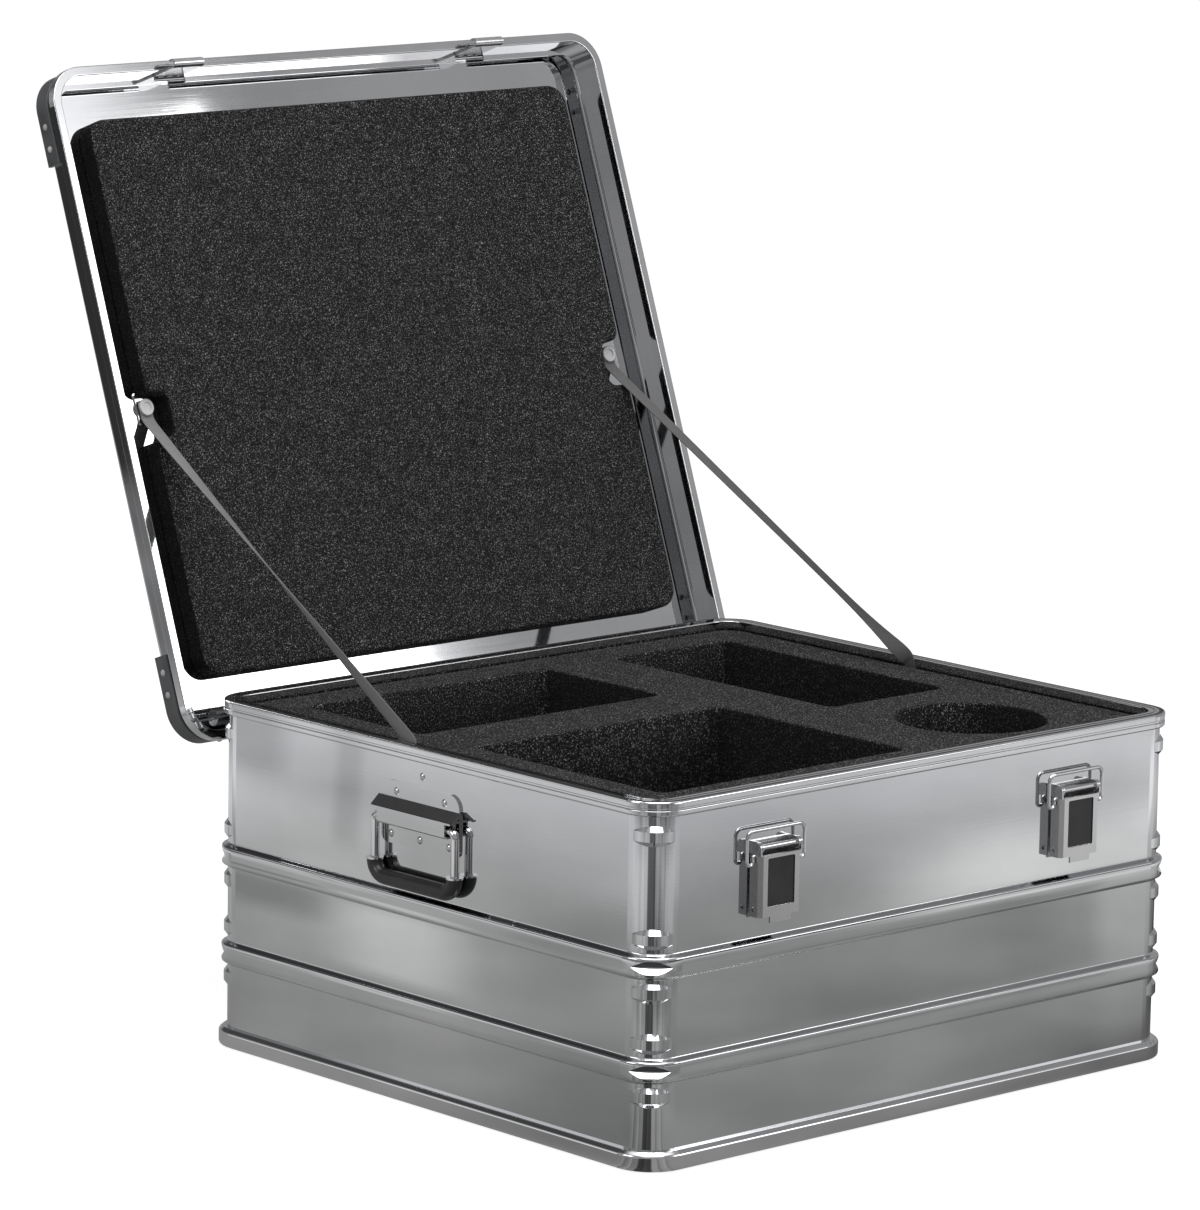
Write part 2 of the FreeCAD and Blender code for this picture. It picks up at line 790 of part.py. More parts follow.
def hinge_lid_leaf():
    """Leaf inside the lid's rear wall: a strip above the axis, joined to its barrels by webs."""
    length = hinge_leaf_half_length
    y_low = lid_inner_rear - hinge_leaf
    z_low = hinge_z + hinge_lid_leaf_rise
    strip = box(-length, length, y_low, lid_inner_rear, z_low, z_low + hinge_lid_leaf_height)
    pieces = []
    web_high = hinge_z + hinge_radius
    for start, end in knuckles(1):
        pieces.append(rod(V(start, hinge_y, hinge_z), V(end, hinge_y, hinge_z), hinge_radius))
        pieces.append(box(start, end, hinge_y, lid_inner_rear, web_high - hinge_leaf, web_high))
    return strip.fuse(pieces).cut(hinge_bore())


def hinge_pin():
    """Pin through all the barrels."""
    reach = hinge_half_length
    return rod(V(-reach, hinge_y, hinge_z), V(reach, hinge_y, hinge_z), hinge_pin_radius)


def hinge_rivets(z, y, direction):
    """A row of small rivet heads along a hinge leaf."""
    span = hinge_leaf_half_length - hinge_rivet_margin
    step = 2 * span / (hinge_rivet_count - 1)
    places = [V(-span + index * step, y, z) for index in range(hinge_rivet_count)]
    return [rivet(place, direction, small_rivet_radius, small_rivet_head) for place in places]


def hook(x):
    """Strike on the lid's front wall: a strip that hangs below the mouth and curls out and up."""
    half = hook_width / 2
    back = lid_inner_front
    face = back + hook_sheet
    low = lid_z - hook_drop
    centre_y = back + hook_sheet / 2 - hook_curl_radius
    outer = hook_curl_radius + hook_sheet / 2
    inner = hook_curl_radius - hook_sheet / 2
    lip = low + hook_lip
    high = lid_z + hook_high

    def at(y, z):
        return V(x - half, y, z)

    edges = [
        Part.LineSegment(at(back, high), at(back, low)).toShape(),
        Part.Arc(at(back, low), at(centre_y, low - inner), at(centre_y - inner, low)).toShape(),
        Part.LineSegment(at(centre_y - inner, low), at(centre_y - inner, lip)).toShape(),
        Part.LineSegment(at(centre_y - inner, lip), at(centre_y - outer, lip)).toShape(),
        Part.LineSegment(at(centre_y - outer, lip), at(centre_y - outer, low)).toShape(),
        Part.Arc(at(centre_y - outer, low), at(centre_y, low - outer), at(face, low)).toShape(),
        Part.LineSegment(at(face, low), at(face, high)).toShape(),
        Part.LineSegment(at(face, high), at(back, high)).toShape(),
    ]
    return Part.Face(Part.Wire(edges)).extrude(axis_x * hook_width)


def hook_rivets():
    """Three rivet heads on each hook, clear of the body's rim."""
    heads = []
    z = lid_z + hook_rivet_height
    y = lid_inner_front + hook_sheet
    for x in (-latch_x, latch_x):
        for step in (-1, 0, 1):
            place = V(x + step * hook_rivet_spacing, y, z)
            heads.append(rivet(place, axis_y, small_rivet_radius, small_rivet_head))
    return heads


def latch_place(x):
    """Reference faces of one latch: its wall face, pivot and bail pivot."""
    wall = -wall_y
    return {
        "x": x,
        "wall": wall,
        "front": wall - latch_depth,
        "base_face": wall - latch_base_thickness,
        "pivot": V(x, wall - latch_pivot_out, latch_pivot_z),
        "bail_pivot": V(x, wall - bail_pivot_out, bail_pivot_z),
    }


def latch_base(at):
    """Plate riveted to the wall, with two ears that carry the lever's pivot."""
    half = latch_width / 2 - latch_sheet - latch_ear_gap
    x = at["x"]
    low = latch_bottom + latch_base_margin
    high = latch_pivot_z + latch_eye_radius
    base = box(x - half, x + half, at["base_face"], at["wall"], low, high)
    ears = []
    pivot = at["pivot"]
    for side in (-1, 1):
        inner = x + side * (half - latch_sheet)
        outer = x + side * half
        x_low, x_high = min(inner, outer), max(inner, outer)
        ear_low = latch_pivot_z - latch_ear_height
        ears.append(box(x_low, x_high, pivot.y, at["base_face"], ear_low, high))
        start = V(x_low, pivot.y, pivot.z)
        ears.append(rod(start, V(x_high, pivot.y, pivot.z), latch_eye_radius))
    hole = rod(pivot - axis_x * latch_width, pivot + axis_x * latch_width, latch_pivot_radius)
    return base.fuse(ears).cut(hole)


def latch_pin(at):
    """Rod that the lever turns on."""
    reach = axis_x * (latch_width / 2)
    return rod(at["pivot"] - reach, at["pivot"] + reach, latch_pivot_radius)


def latch_lever(at):
    """Lever: a folded box, open at the back, with a recess in its face and eyes at its top."""
    x = at["x"]
    half = latch_width / 2
    front = at["front"]
    back = at["base_face"] - touch_gap
    face_top = latch_pivot_z - latch_face_below_pivot
    pivot = at["pivot"]
    outline = [
        (x - half, back, 0),
        (x - half, front + latch_edge_chamfer, 0),
        (x - half + latch_edge_chamfer, front, 0),
        (x + half - latch_edge_chamfer, front, 0),
        (x + half, front + latch_edge_chamfer, 0),
        (x + half, back, 0),
    ]
    body = plate(outline, lambda a, b: V(a, b, latch_bottom), axis_z * (face_top - latch_bottom))
    lip_low = latch_bottom - latch_lip_height
    lip_half = half / 2
    wall = latch_sheet + latch_recess_depth
    hollow_low = latch_bottom - cut_overrun
    hollow_high = face_top + cut_overrun
    inner = half - latch_sheet
    hollow = box(x - inner, x + inner, front + wall, back + cut_overrun, hollow_low, hollow_high)
    eyes = []
    for side in (-1, 1):
        near = x + side * inner
        far = x + side * half
        x_low, x_high = min(near, far), max(near, far)
        low = V(x_low, pivot.y, pivot.z)
        eyes.append(rod(low, V(x_high, pivot.y, pivot.z), latch_eye_radius))
        neck_high = latch_pivot_z
        neck_front = pivot.y - latch_eye_radius
        neck_back = pivot.y + latch_eye_radius
        eyes.append(box(x_low, x_high, neck_front, neck_back, face_top, neck_high))
    lip = box(x - lip_half, x + lip_half, front, front + latch_sheet, lip_low, latch_bottom)
    recess = latch_recess(at, 0, latch_recess_depth, cut_overrun)
    reach = axis_x * latch_width
    pivot_hole = rod(pivot - reach, pivot + reach, latch_pivot_radius + running_clearance)
    bail_pivot = at["bail_pivot"]
    bail_hole = rod(bail_pivot - reach, bail_pivot + reach, bail_radius + running_clearance)
    seal_at = V(x, at["wall"] - latch_seal_hole_out, latch_bottom + latch_seal_hole_rise)
    seal_hole = rod(seal_at - reach, seal_at + reach, latch_seal_hole_radius)
    return body.cut(hollow).fuse(eyes + [lip]).cut([recess, pivot_hole, bail_hole, seal_hole])


def latch_recess(at, gap, depth, overrun):
    """A shallow rounded block in the lever's face, smaller by gap all round."""
    half = latch_recess_width / 2 - gap
    low = latch_bottom + latch_recess_low + gap
    high = latch_bottom + latch_recess_low + latch_recess_height - gap
    corners = plan_corners(at["x"] - half, at["x"] + half, low, high, latch_recess_round)
    start = at["front"] - overrun
    return plate(corners, lambda a, b: V(a, start, b), axis_y * (depth + overrun))


def latch_face(at):
    """Dark plate let into the lever's recess."""
    piece = latch_recess(at, latch_plate_gap, latch_plate_thickness, 0)
    piece.translate(axis_y * (latch_recess_depth - latch_plate_thickness))
    return piece


def latch_bail(at):
    """Wire loop: each leg turns up in an eye beside the lever, and its bent-in end turns in the lever."""
    pivot = at["bail_pivot"]
    tip = latch_width / 2 - latch_sheet
    near = latch_width / 2 + bail_side_gap + bail_radius
    far = near + bail_eye_width
    drop = axis_z * -bail_eye_drop
    rise = axis_z * (bail_top_z - bail_pivot_z)
    half = [
        (axis_x * tip, 0),
        (axis_x * near, bail_end_bend_radius),
        (axis_x * near + drop, bail_eye_bend_radius),
        (axis_x * far + drop, bail_eye_bend_radius),
        (axis_x * far + rise, bail_bend_radius),
    ]
    mirrored = [(V(-place.x, place.y, place.z), bend) for place, bend in reversed(half)]
    route = half + mirrored
    points = [pivot + place for place, bend in route]
    return wire_tube(points, [bend for place, bend in route], bail_radius)


def latch_rivets(at):
    """Rivet heads on the base plate, behind the lever."""
    y = at["base_face"]
    rises = [latch_rivet_first + index * latch_rivet_pitch for index in range(latch_rivet_count)]
    places = [V(at["x"], y, latch_bottom + rise) for rise in rises]
    return [rivet(place, axis_y * -1, small_rivet_radius, small_rivet_head) for place in places]


def handle_point(side, along, out, z):
    """A point on a side of the case: along the wall, out from it, and up."""
    return V(side * (wall_x + out), handle_y + along, z)


def handle_plate(side):
    """Riveted back plate with large upper and small lower corners."""
    half = handle_plate_half_width
    corners = [
        (-half, handle_plate_low, handle_plate_foot_round),
        (half, handle_plate_low, handle_plate_foot_round),
        (half, handle_plate_high, handle_plate_round),
        (-half, handle_plate_high, handle_plate_round),
    ]
    push = axis_x * (side * handle_plate_thickness)
    return plate(corners, lambda a, b: handle_point(side, a, 0, b), push)


def handle_bracket(side):
    """Folded roof over the pivot, with the channel that the handle's wire turns in."""
    face = handle_plate_thickness
    roof = [
        (face, handle_roof_high, 0),
        (face + sheet, handle_roof_high, 0),
        (handle_roof_reach, handle_roof_low + sheet, 0),
        (handle_roof_reach + handle_roof_lip, handle_roof_low + sheet, 0),
        (handle_roof_reach + handle_roof_lip, handle_roof_low, 0),
        (handle_roof_reach - sheet, handle_roof_low, 0),
        (face, handle_roof_high - sheet - sheet, 0),
    ]
    outer = [
        (face, handle_channel_low, 0),
        (handle_channel_reach, handle_channel_low, handle_channel_round),
        (handle_channel_reach, handle_roof_low + sheet / 2, 0),
        (face, handle_roof_low + sheet / 2, 0),
    ]
    hollow = [
        (face + sheet, handle_channel_low + sheet, 0),
        (handle_channel_reach - sheet, handle_channel_low + sheet, handle_channel_round - sheet),
        (handle_channel_reach - sheet, handle_roof_low - sheet, 0),
        (face + sheet, handle_roof_low - sheet, 0),
    ]
    roof_half = handle_roof_half_length
    channel_half = handle_channel_half_length
    hollow_half = channel_half + cut_overrun
    roof_solid = plate(roof, lambda a, b: handle_point(side, -roof_half, a, b), axis_y * (2 * roof_half))
    span = axis_y * (2 * channel_half)
    channel = plate(outer, lambda a, b: handle_point(side, -channel_half, a, b), span)
    room = plate(hollow, lambda a, b: handle_point(side, -hollow_half, a, b), axis_y * (2 * hollow_half))
    return roof_solid.fuse(channel).cut(room)


def handle_bushes(side):
    """Two plastic bushes in the channel that carry the handle's wire."""
    face = handle_plate_thickness + sheet
    far = handle_channel_reach - sheet
    low = handle_channel_low + sheet
    high = handle_roof_low - sheet
    corners = [
        (face, low, 0),
        (far, low, handle_channel_round - sheet),
        (far, high, 0),
        (face, high, 0),
    ]
    bushes = []
    inset = handle_channel_half_length - handle_bush_inset
    for start in (-inset, inset - handle_bush_length):
        block = plate(
            corners,
            lambda a, b, start=start: handle_point(side, start, a, b),
            axis_y * handle_bush_length,
        )
        reach = handle_channel_half_length
        hole = rod(
            handle_point(side, -reach, handle_axis_out, handle_axis_z),
            handle_point(side, reach, handle_axis_out, handle_axis_z),
            handle_wire_radius + running_clearance,
        )
        bushes.append(block.cut(hole))
    return bushes


def handle_bail(side):
    """Closed wire loop: the axle in the channel, two arms and the bar inside the grip."""
    arm = handle_arm_half_spacing
    points = [
        handle_point(side, -arm, handle_axis_out, handle_axis_z),
        handle_point(side, arm, handle_axis_out, handle_axis_z),
        handle_point(side, arm, handle_axis_out, handle_bar_z),
        handle_point(side, -arm, handle_axis_out, handle_bar_z),
    ]
    bends = [handle_top_bend, handle_top_bend, handle_bottom_bend, handle_bottom_bend]
    return wire_tube(points, bends, handle_wire_radius, closed=True)


def handle_u(side, top, radius):
    """A U-shaped bar on the lower part of the handle loop."""
    arm = handle_arm_half_spacing
    points = [
        handle_point(side, -arm, handle_axis_out, top),
        handle_point(side, -arm, handle_axis_out, handle_bar_z),
        handle_point(side, arm, handle_axis_out, handle_bar_z),
        handle_point(side, arm, handle_axis_out, top),
    ]
    bends = [0, handle_bottom_bend, handle_bottom_bend, 0]
    return wire_tube(points, bends, radius)


def handle_grip(side):
    """Soft sleeve moulded round the bar and the two bends."""
    sleeve = handle_u(side, handle_grip_top + cut_overrun, handle_grip_radius)
    core = handle_u(side, handle_grip_top + cut_overrun, handle_wire_radius + running_clearance)
    reach = handle_arm_half_spacing + 2 * handle_grip_radius
    out_low = handle_axis_out - 2 * handle_grip_radius
    out_high = handle_axis_out + 2 * handle_grip_radius
    x_ends = sorted((side * (wall_x + out_low), side * (wall_x + out_high)))
    over = handle_grip_top + 2 * cut_overrun
    trim = box(*x_ends, handle_y - reach, handle_y + reach, handle_grip_top, over)
    return sleeve.cut([core, trim])


def handle_collars(side):
    """Thin metal rings where the sleeve ends."""
    rings = []
    for along in (-handle_arm_half_spacing, handle_arm_half_spacing):
        low = handle_point(side, along, handle_axis_out, handle_grip_top)
        disc = Part.makeCylinder(handle_grip_radius + handle_collar_proud, handle_collar_height, low)
        bore = Part.makeCylinder(handle_wire_radius + running_clearance, handle_collar_height, low)
        rings.append(disc.cut(bore))
    return rings


def handle_rivets(side):
    """Rivet heads: one on the wall above the plate, two upper and three lower on the plate."""
    outward = axis_x * side
    face = handle_plate_thickness
    upper_z = handle_axis_z + handle_upper_rivet_rise
    lower_z = handle_axis_z - handle_lower_rivet_drop
    places = [(0, 0, handle_axis_z + handle_single_rivet_rise)]
    places += [(step * handle_upper_rivet_spread, face, upper_z) for step in (-1, 1)]
    places += [(step * handle_lower_rivet_spread, face, lower_z) for step in (-1, 0, 1)]
    return [rivet(handle_point(side, *place), outward, rivet_radius, rivet_head) for place in places]


def strap_post(side):
    """Foot and post on the lid panel that hold the strap's upper end."""
    x = side * strap_lid_x
    half_w = strap_foot_width / 2
    half_l = strap_foot_length / 2
    top = lid_panel_z
    foot = rounded_block(
        x - half_w, x + half_w, strap_lid_y - half_l, strap_lid_y + half_l,
        strap_post_radius, top - strap_foot_thickness, top,
    )
    low = V(x, strap_lid_y, top - strap_post_height)
    return foot.fuse(rod(low, V(x, strap_lid_y, top), strap_post_radius))


def strap_button(side):
    """Dished button that clamps the strap's end to the post."""
    x = side * strap_lid_x
    top = lid_panel_z - strap_post_height - strap_thickness - 2 * touch_gap
    low = V(x, strap_lid_y, top - strap_button_height)
    disc = Part.makeCylinder(strap_button_radius, strap_button_height, low)
    bottom_edges = [edge for edge in disc.Edges if edge.BoundBox.ZMax < top]
    disc = disc.makeFillet(strap_button_dish, [edge for edge in bottom_edges if edge.Closed][:1])
    dish = Part.makeCylinder(strap_button_dish_radius, strap_button_dish, low)
    return disc.cut(dish)


def strap_clip(side):
    """Small plate on the rim's inner face that the strap's lower end is fixed to."""
    near = side * (rim_inner_x - strap_clip_thickness)
    far = side * rim_inner_x
    half = strap_clip_width / 2
    x_low, x_high = min(near, far), max(near, far)
    return box(x_low, x_high, strap_case_y - half, strap_case_y + half, strap_clip_low, strap_clip_high)


def strap(side):
    """Webbing stay: flat on the lid at the button, twisting a quarter turn down to the rim."""
    z_button = lid_panel_z - strap_post_height - touch_gap - strap_thickness / 2
    x_lid = side * strap_lid_x
    tail = opened_point(V(x_lid, strap_lid_y - strap_tail, z_button))
    lead = opened_point(V(x_lid, strap_lid_y + strap_lead, z_button))
    flat_across = axis_x * side
    flat_normal = (opened_point(V(0, 0, 1)) - opened_point(V(0, 0, 0))).normalize()
    x_case = side * (rim_inner_x - strap_clip_thickness - touch_gap - strap_thickness / 2)
    foot = V(x_case, strap_case_y, strap_end_z)
    knee = V(x_case, strap_case_y, strap_clip_high)
    run = (lead - knee).normalize()
    sections = [
        strap_section(tail, flat_across, flat_normal),
        strap_section(lead, flat_across, flat_normal),
    ]
    upright = axis_x.cross(run).normalize()
    for share in strap_station_shares[1:]:
        point = lead + (knee - lead) * share
        turn = FreeCAD.Rotation(run, -strap_twist * share)
        across = turn.multVec(axis_x * side)
        normal = turn.multVec(upright)
        sections.append(strap_section(point, across, normal))
    last = sections[-1].Vertexes
    facing = math.copysign(1, last[1].Point.y - last[0].Point.y)
    sections.append(strap_section(foot, axis_y * facing, axis_x * facing))
    return Part.makeLoft(sections, True, True)


def strap_section(point, across, normal):
    """The strap's flat cross-section at a point."""
    wide = across.normalize() * (strap_width / 2)
    thick = normal.normalize() * (strap_thickness / 2)
    corners = [point - wide - thick, point + wide - thick, point + wide + thick, point - wide + thick]
    return Part.makePolygon(corners + corners[:1])


def main():
    os.makedirs("parts", exist_ok=True)
    save("body_wall", body_wall())
    save("floor_pan", floor_pan())
    save("bottom_rim", bottom_rim())
    save("top_rim", top_rim())
    save("rim_seal", rim_seal())
    save("foam_insert", foam_insert())

    save("lid_frame", opened(lid_frame()))
    save("lid_panel", opened(lid_panel()))
    save("lid_foam", opened(lid_foam()))
    for name, shape in lid_bumpers().items():
        save("lid_bumper_" + name, opened(shape))
    save("lid_bumper_rivets", [opened(head) for head in bumper_rivets()])
    save("lid_hook_left", opened(hook(-latch_x)))
    save("lid_hook_right", opened(hook(latch_x)))
    save("lid_hook_rivets", [opened(head) for head in hook_rivets()])

    save("hinge_case_leaf", hinge_case_leaf())
    save("hinge_lid_leaf", opened(hinge_lid_leaf()))
    save("hinge_pin", hinge_pin())
    case_rivet_z = hinge_z - hinge_case_rivet_drop
    save("hinge_case_rivets", hinge_rivets(case_rivet_z, wall_y + hinge_leaf, axis_y))
    lid_rivets = hinge_rivets(hinge_z + hinge_lid_rivet_rise, lid_inner_rear - hinge_leaf, axis_y * -1)
    save("hinge_lid_rivets", [opened(head) for head in lid_rivets])

    for name, side in (("left", -1), ("right", 1)):
        at = latch_place(side * latch_x)
        save("latch_" + name + "_base", latch_base(at))
        save("latch_" + name + "_pin", latch_pin(at))
        save("latch_" + name + "_lever", latch_lever(at))
        save("latch_" + name + "_face", latch_face(at))
        save("latch_" + name + "_bail", latch_bail(at))
        save("latch_" + name + "_rivets", latch_rivets(at))
        save("handle_" + name + "_plate", handle_plate(side))
        save("handle_" + name + "_bracket", handle_bracket(side))
        save("handle_" + name + "_bushes", handle_bushes(side))
        save("handle_" + name + "_bail", handle_bail(side))
        save("handle_" + name + "_grip", handle_grip(side))
        save("handle_" + name + "_collars", handle_collars(side))
        save("handle_" + name + "_rivets", handle_rivets(side))
        save("strap_" + name + "_post", opened(strap_post(side)))
        save("strap_" + name + "_button", opened(strap_button(side)))
        save("strap_" + name + "_clip", strap_clip(side))
        save("strap_" + name, strap(side))


main()
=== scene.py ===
"""Looks of the open aluminium transport case: foam, stay straps, finishes, camera and studio.

Metres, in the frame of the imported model: +Z up, the front with the latches at -Y, the lid open at the rear.
"""
import math

import bmesh
import bpy
import numpy as np
from mathutils import Matrix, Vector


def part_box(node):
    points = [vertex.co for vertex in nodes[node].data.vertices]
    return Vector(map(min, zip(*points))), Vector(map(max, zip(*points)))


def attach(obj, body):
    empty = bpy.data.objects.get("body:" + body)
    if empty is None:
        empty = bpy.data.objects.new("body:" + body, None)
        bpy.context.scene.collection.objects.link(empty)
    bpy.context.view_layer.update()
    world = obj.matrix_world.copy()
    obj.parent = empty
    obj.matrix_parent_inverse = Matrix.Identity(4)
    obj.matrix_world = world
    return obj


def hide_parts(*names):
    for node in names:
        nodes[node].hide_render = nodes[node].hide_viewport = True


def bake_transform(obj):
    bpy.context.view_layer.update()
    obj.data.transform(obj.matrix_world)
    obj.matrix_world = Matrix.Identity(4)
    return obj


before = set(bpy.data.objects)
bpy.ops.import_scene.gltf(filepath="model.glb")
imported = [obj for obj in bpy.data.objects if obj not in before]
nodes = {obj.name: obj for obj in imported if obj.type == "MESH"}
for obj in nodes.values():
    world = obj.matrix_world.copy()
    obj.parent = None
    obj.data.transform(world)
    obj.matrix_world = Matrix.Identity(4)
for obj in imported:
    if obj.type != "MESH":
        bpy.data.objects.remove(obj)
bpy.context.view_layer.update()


# Shader graphs

class Value:
    """A number that varies over a surface; arithmetic on it adds Math nodes."""

    def __init__(self, graph, socket):
        self.graph = graph
        self.socket = socket

    def __add__(self, other):
        return self.graph.math("ADD", self, other)

    __radd__ = __add__

    def __sub__(self, other):
        return self.graph.math("SUBTRACT", self, other)

    def __rsub__(self, other):
        return self.graph.math("SUBTRACT", other, self)

    def __mul__(self, other):
        return self.graph.math("MULTIPLY", self, other)

    __rmul__ = __mul__

    def __truediv__(self, other):
        return self.graph.math("DIVIDE", self, other)

    def largest(self, other):
        return self.graph.math("MAXIMUM", self, other)

    def smallest(self, other):
        return self.graph.math("MINIMUM", self, other)

    def clamp(self):
        return self.largest(0.0).smallest(1.0)

    def sine(self):
        return self.graph.math("SINE", self)

    def absolute(self):
        return self.graph.math("ABSOLUTE", self)

    def root(self):
        return self.graph.math("SQRT", self)

    def step(self, low, high):
        """Smooth step from 0 at low to 1 at high."""
        made = self.graph.node("ShaderNodeMapRange", {"interpolation_type": "SMOOTHSTEP", "clamp": True},
                               {"Value": self, "From Min": low, "From Max": high})
        return Value(self.graph, made.outputs["Result"])

    def drop(self, low, high):
        """Smooth step from 1 at low to 0 at high."""
        return 1 - self.step(low, high)

    def near(self, middle, inner, outer):
        """1 within inner of the middle, falling to 0 at outer."""
        return (self - middle).absolute().drop(inner, outer)


# Places of the Mix node's sockets for colours, which share their names with those for numbers
MIX_INPUTS, MIX_OUTPUT = (0, 6, 7), 2


class Graph:
    """One node tree, of a material or of the world."""

    def __init__(self, tree):
        self.tree = tree
        tree.nodes.clear()

    def node(self, kind, settings=None, inputs=None):
        """Adds a node: its settings first, then the values or links of its sockets."""
        made = self.tree.nodes.new(kind)
        for name, value in (settings or {}).items():
            setattr(made, name, value)
        for name, value in (inputs or {}).items():
            self.feed(made.inputs[name], value)
        return made

    def feed(self, socket, value):
        """Links a value or a socket, or writes a plain number or colour."""
        if isinstance(value, Value):
            self.tree.links.new(value.socket, socket)
        elif isinstance(value, bpy.types.NodeSocket):
            self.tree.links.new(value, socket)
        else:
            socket.default_value = value

    def math(self, operation, first, second=None):
        """One step of arithmetic."""
        made = self.node("ShaderNodeMath", {"operation": operation})
        self.feed(made.inputs[0], first)
        if second is not None:
            self.feed(made.inputs[1], second)
        return Value(self, made.outputs[0])

    def mix(self, factor, first, second):
        """Blends two colours."""
        made = self.node("ShaderNodeMix", {"data_type": "RGBA"})
        for place, value in zip(MIX_INPUTS, (factor, first, second)):
            self.feed(made.inputs[place], value)
        return made.outputs[MIX_OUTPUT]

    def ramp(self, factor, stops):
        """Colour that runs through stops, each a place and a colour."""
        made = self.node("ShaderNodeValToRGB", {}, {"Fac": factor})
        elements = made.color_ramp.elements
        while len(elements) < len(stops):
            elements.new(0.5)
        for element, (place, colour) in zip(elements, stops):
            element.position = place
            element.color = colour
        return made.outputs["Color"]

    def blend(self, factor, first, second):
        """Mixes two shaders."""
        made = self.node("ShaderNodeMixShader", {}, {"Fac": factor})
        self.feed(made.inputs[1], first.outputs[0])
        self.feed(made.inputs[2], second.outputs[0])
        return made

    def place(self, scale=(1, 1, 1), source="Object"):
        """Coordinates of the surface, scaled."""
        where = self.node("ShaderNodeTexCoord").outputs[source]
        return self.node("ShaderNodeMapping", {}, {"Vector": where, "Scale": scale}).outputs["Vector"]

    def noise(self, vector, scale, detail, rough):
        """Soft noise from 0 to 1."""
        made = self.node("ShaderNodeTexNoise", {}, {
            "Vector": vector, "Scale": scale, "Detail": detail, "Roughness": rough})
        return Value(self, made.outputs["Fac"])

    def cells(self, vector, scale):
        """Distance to the middle of the nearest cell."""
        made = self.node("ShaderNodeTexVoronoi", {}, {"Vector": vector, "Scale": scale})
        return Value(self, made.outputs["Distance"])

    def bump(self, height, strength, distance, before=None):
        """Normal that follows a height, on top of the normal before it if there is one."""
        made = self.node("ShaderNodeBump", {}, {"Height": height, "Strength": strength, "Distance": distance})
        if before is not None:
            self.feed(made.inputs["Normal"], before)
        return made.outputs["Normal"]

    def split(self, vector):
        """The three parts of a vector."""
        made = self.node("ShaderNodeSeparateXYZ", {}, {"Vector": vector})
        return [Value(self, made.outputs[k]) for k in range(3)]

    def grey(self, level, blue):
        """Colour of a level, with its blue part given."""
        made = self.node("ShaderNodeCombineColor", {}, {"Red": level, "Green": level, "Blue": blue})
        return made.outputs[0]


def linear(*levels):
    """Screen levels from 0 to 255, one for grey or three, as linear colour."""
    if len(levels) == 1:
        levels = levels * 3
    share = [level / 255 for level in levels]
    return tuple(s / 12.92 if s <= 0.04045 else ((s + 0.055) / 1.055) ** 2.4 for s in share) + (1.0,)


# Finishes

def new_finish(name):
    """A new material and its graph, with a surface shader joined to the output."""
    material = bpy.data.materials.new(name)
    material.use_nodes = True
    graph = Graph(material.node_tree)
    shader = graph.node("ShaderNodeBsdfPrincipled")
    output = graph.node("ShaderNodeOutputMaterial")
    graph.feed(output.inputs["Surface"], shader.outputs[0])
    return material, graph, shader


# Heights of the beads' middles, half the height of their faces and how far those round off
BEAD_HEIGHTS = (0.1615, 0.079)
CROWN_HALF, CROWN_RISE = 0.0076, 0.0005


def metal(name, dark, bright, rough, rough_spread, grain_scale, grain_share, wave=0.0, crowns=()):
    """Bright metal: rolling grain stretched by grain_scale, soft stains, and a slow wave of the sheet. Crowns
    are heights of beads whose faces round off a little: 1 - t ** 4 over the half height of the face."""
    material, graph, shader = new_finish(name)
    shader.inputs["Metallic"].default_value = 1.0
    grain = graph.noise(graph.place(grain_scale), scale=1.0, detail=3.0, rough=0.6)
    stain = graph.noise(graph.place(), scale=9.0, detail=4.0, rough=0.55)
    scuff = graph.noise(graph.place((60, 60, 60)), scale=1.0, detail=5.0, rough=0.7).step(0.62, 0.8)
    tone = (stain.step(0.3, 0.75) * (1 - grain_share) + grain * grain_share).clamp()
    graph.feed(shader.inputs["Base Color"], graph.mix(tone, dark, bright))
    uneven = rough + (stain - 0.5) * rough_spread + (grain - 0.5) * rough_spread
    graph.feed(shader.inputs["Roughness"], (uneven + scuff * (0.5 * rough_spread)).clamp())
    height = grain * 0.02
    if wave:
        height = height + graph.noise(graph.place(), scale=5.0, detail=1.0, rough=0.4) * wave
    normal = graph.bump(height, strength=0.08, distance=0.004)
    for middle in crowns:
        share = ((graph.split(graph.place())[2] - middle).absolute() / CROWN_HALF).smallest(1.0)
        square = share * share
        normal = graph.bump(1 - square * square, strength=1.0, distance=CROWN_RISE, before=normal)
    graph.feed(shader.inputs["Normal"], normal)
    return material


def plastic(name, dark, bright, rough, grain, strength):
    """Moulded plastic, rubber or paint: fine pebble grain with slight tone and gloss changes."""
    material, graph, shader = new_finish(name)
    pebble = graph.noise(graph.place(), scale=grain, detail=2.0, rough=0.5)
    cloud = graph.noise(graph.place(), scale=40.0, detail=3.0, rough=0.6)
    graph.feed(shader.inputs["Base Color"], graph.mix(cloud.step(0.3, 0.7), dark, bright))
    graph.feed(shader.inputs["Roughness"], (rough + (cloud - 0.5) * 0.18 + (pebble - 0.5) * 0.1).clamp())
    graph.feed(shader.inputs["Normal"], graph.bump(pebble, strength, distance=0.0004))
    return material


# Heights between which painted shade darkens the insert's pockets, and the greys of the foam's cells and cut
# cell walls
POCKET_DARK, POCKET_LIT = 0.225, 0.283
FOAM_GREYS = [(0.0, linear(16)), (0.3, linear(30)), (0.6, linear(74)), (1.0, linear(158))]


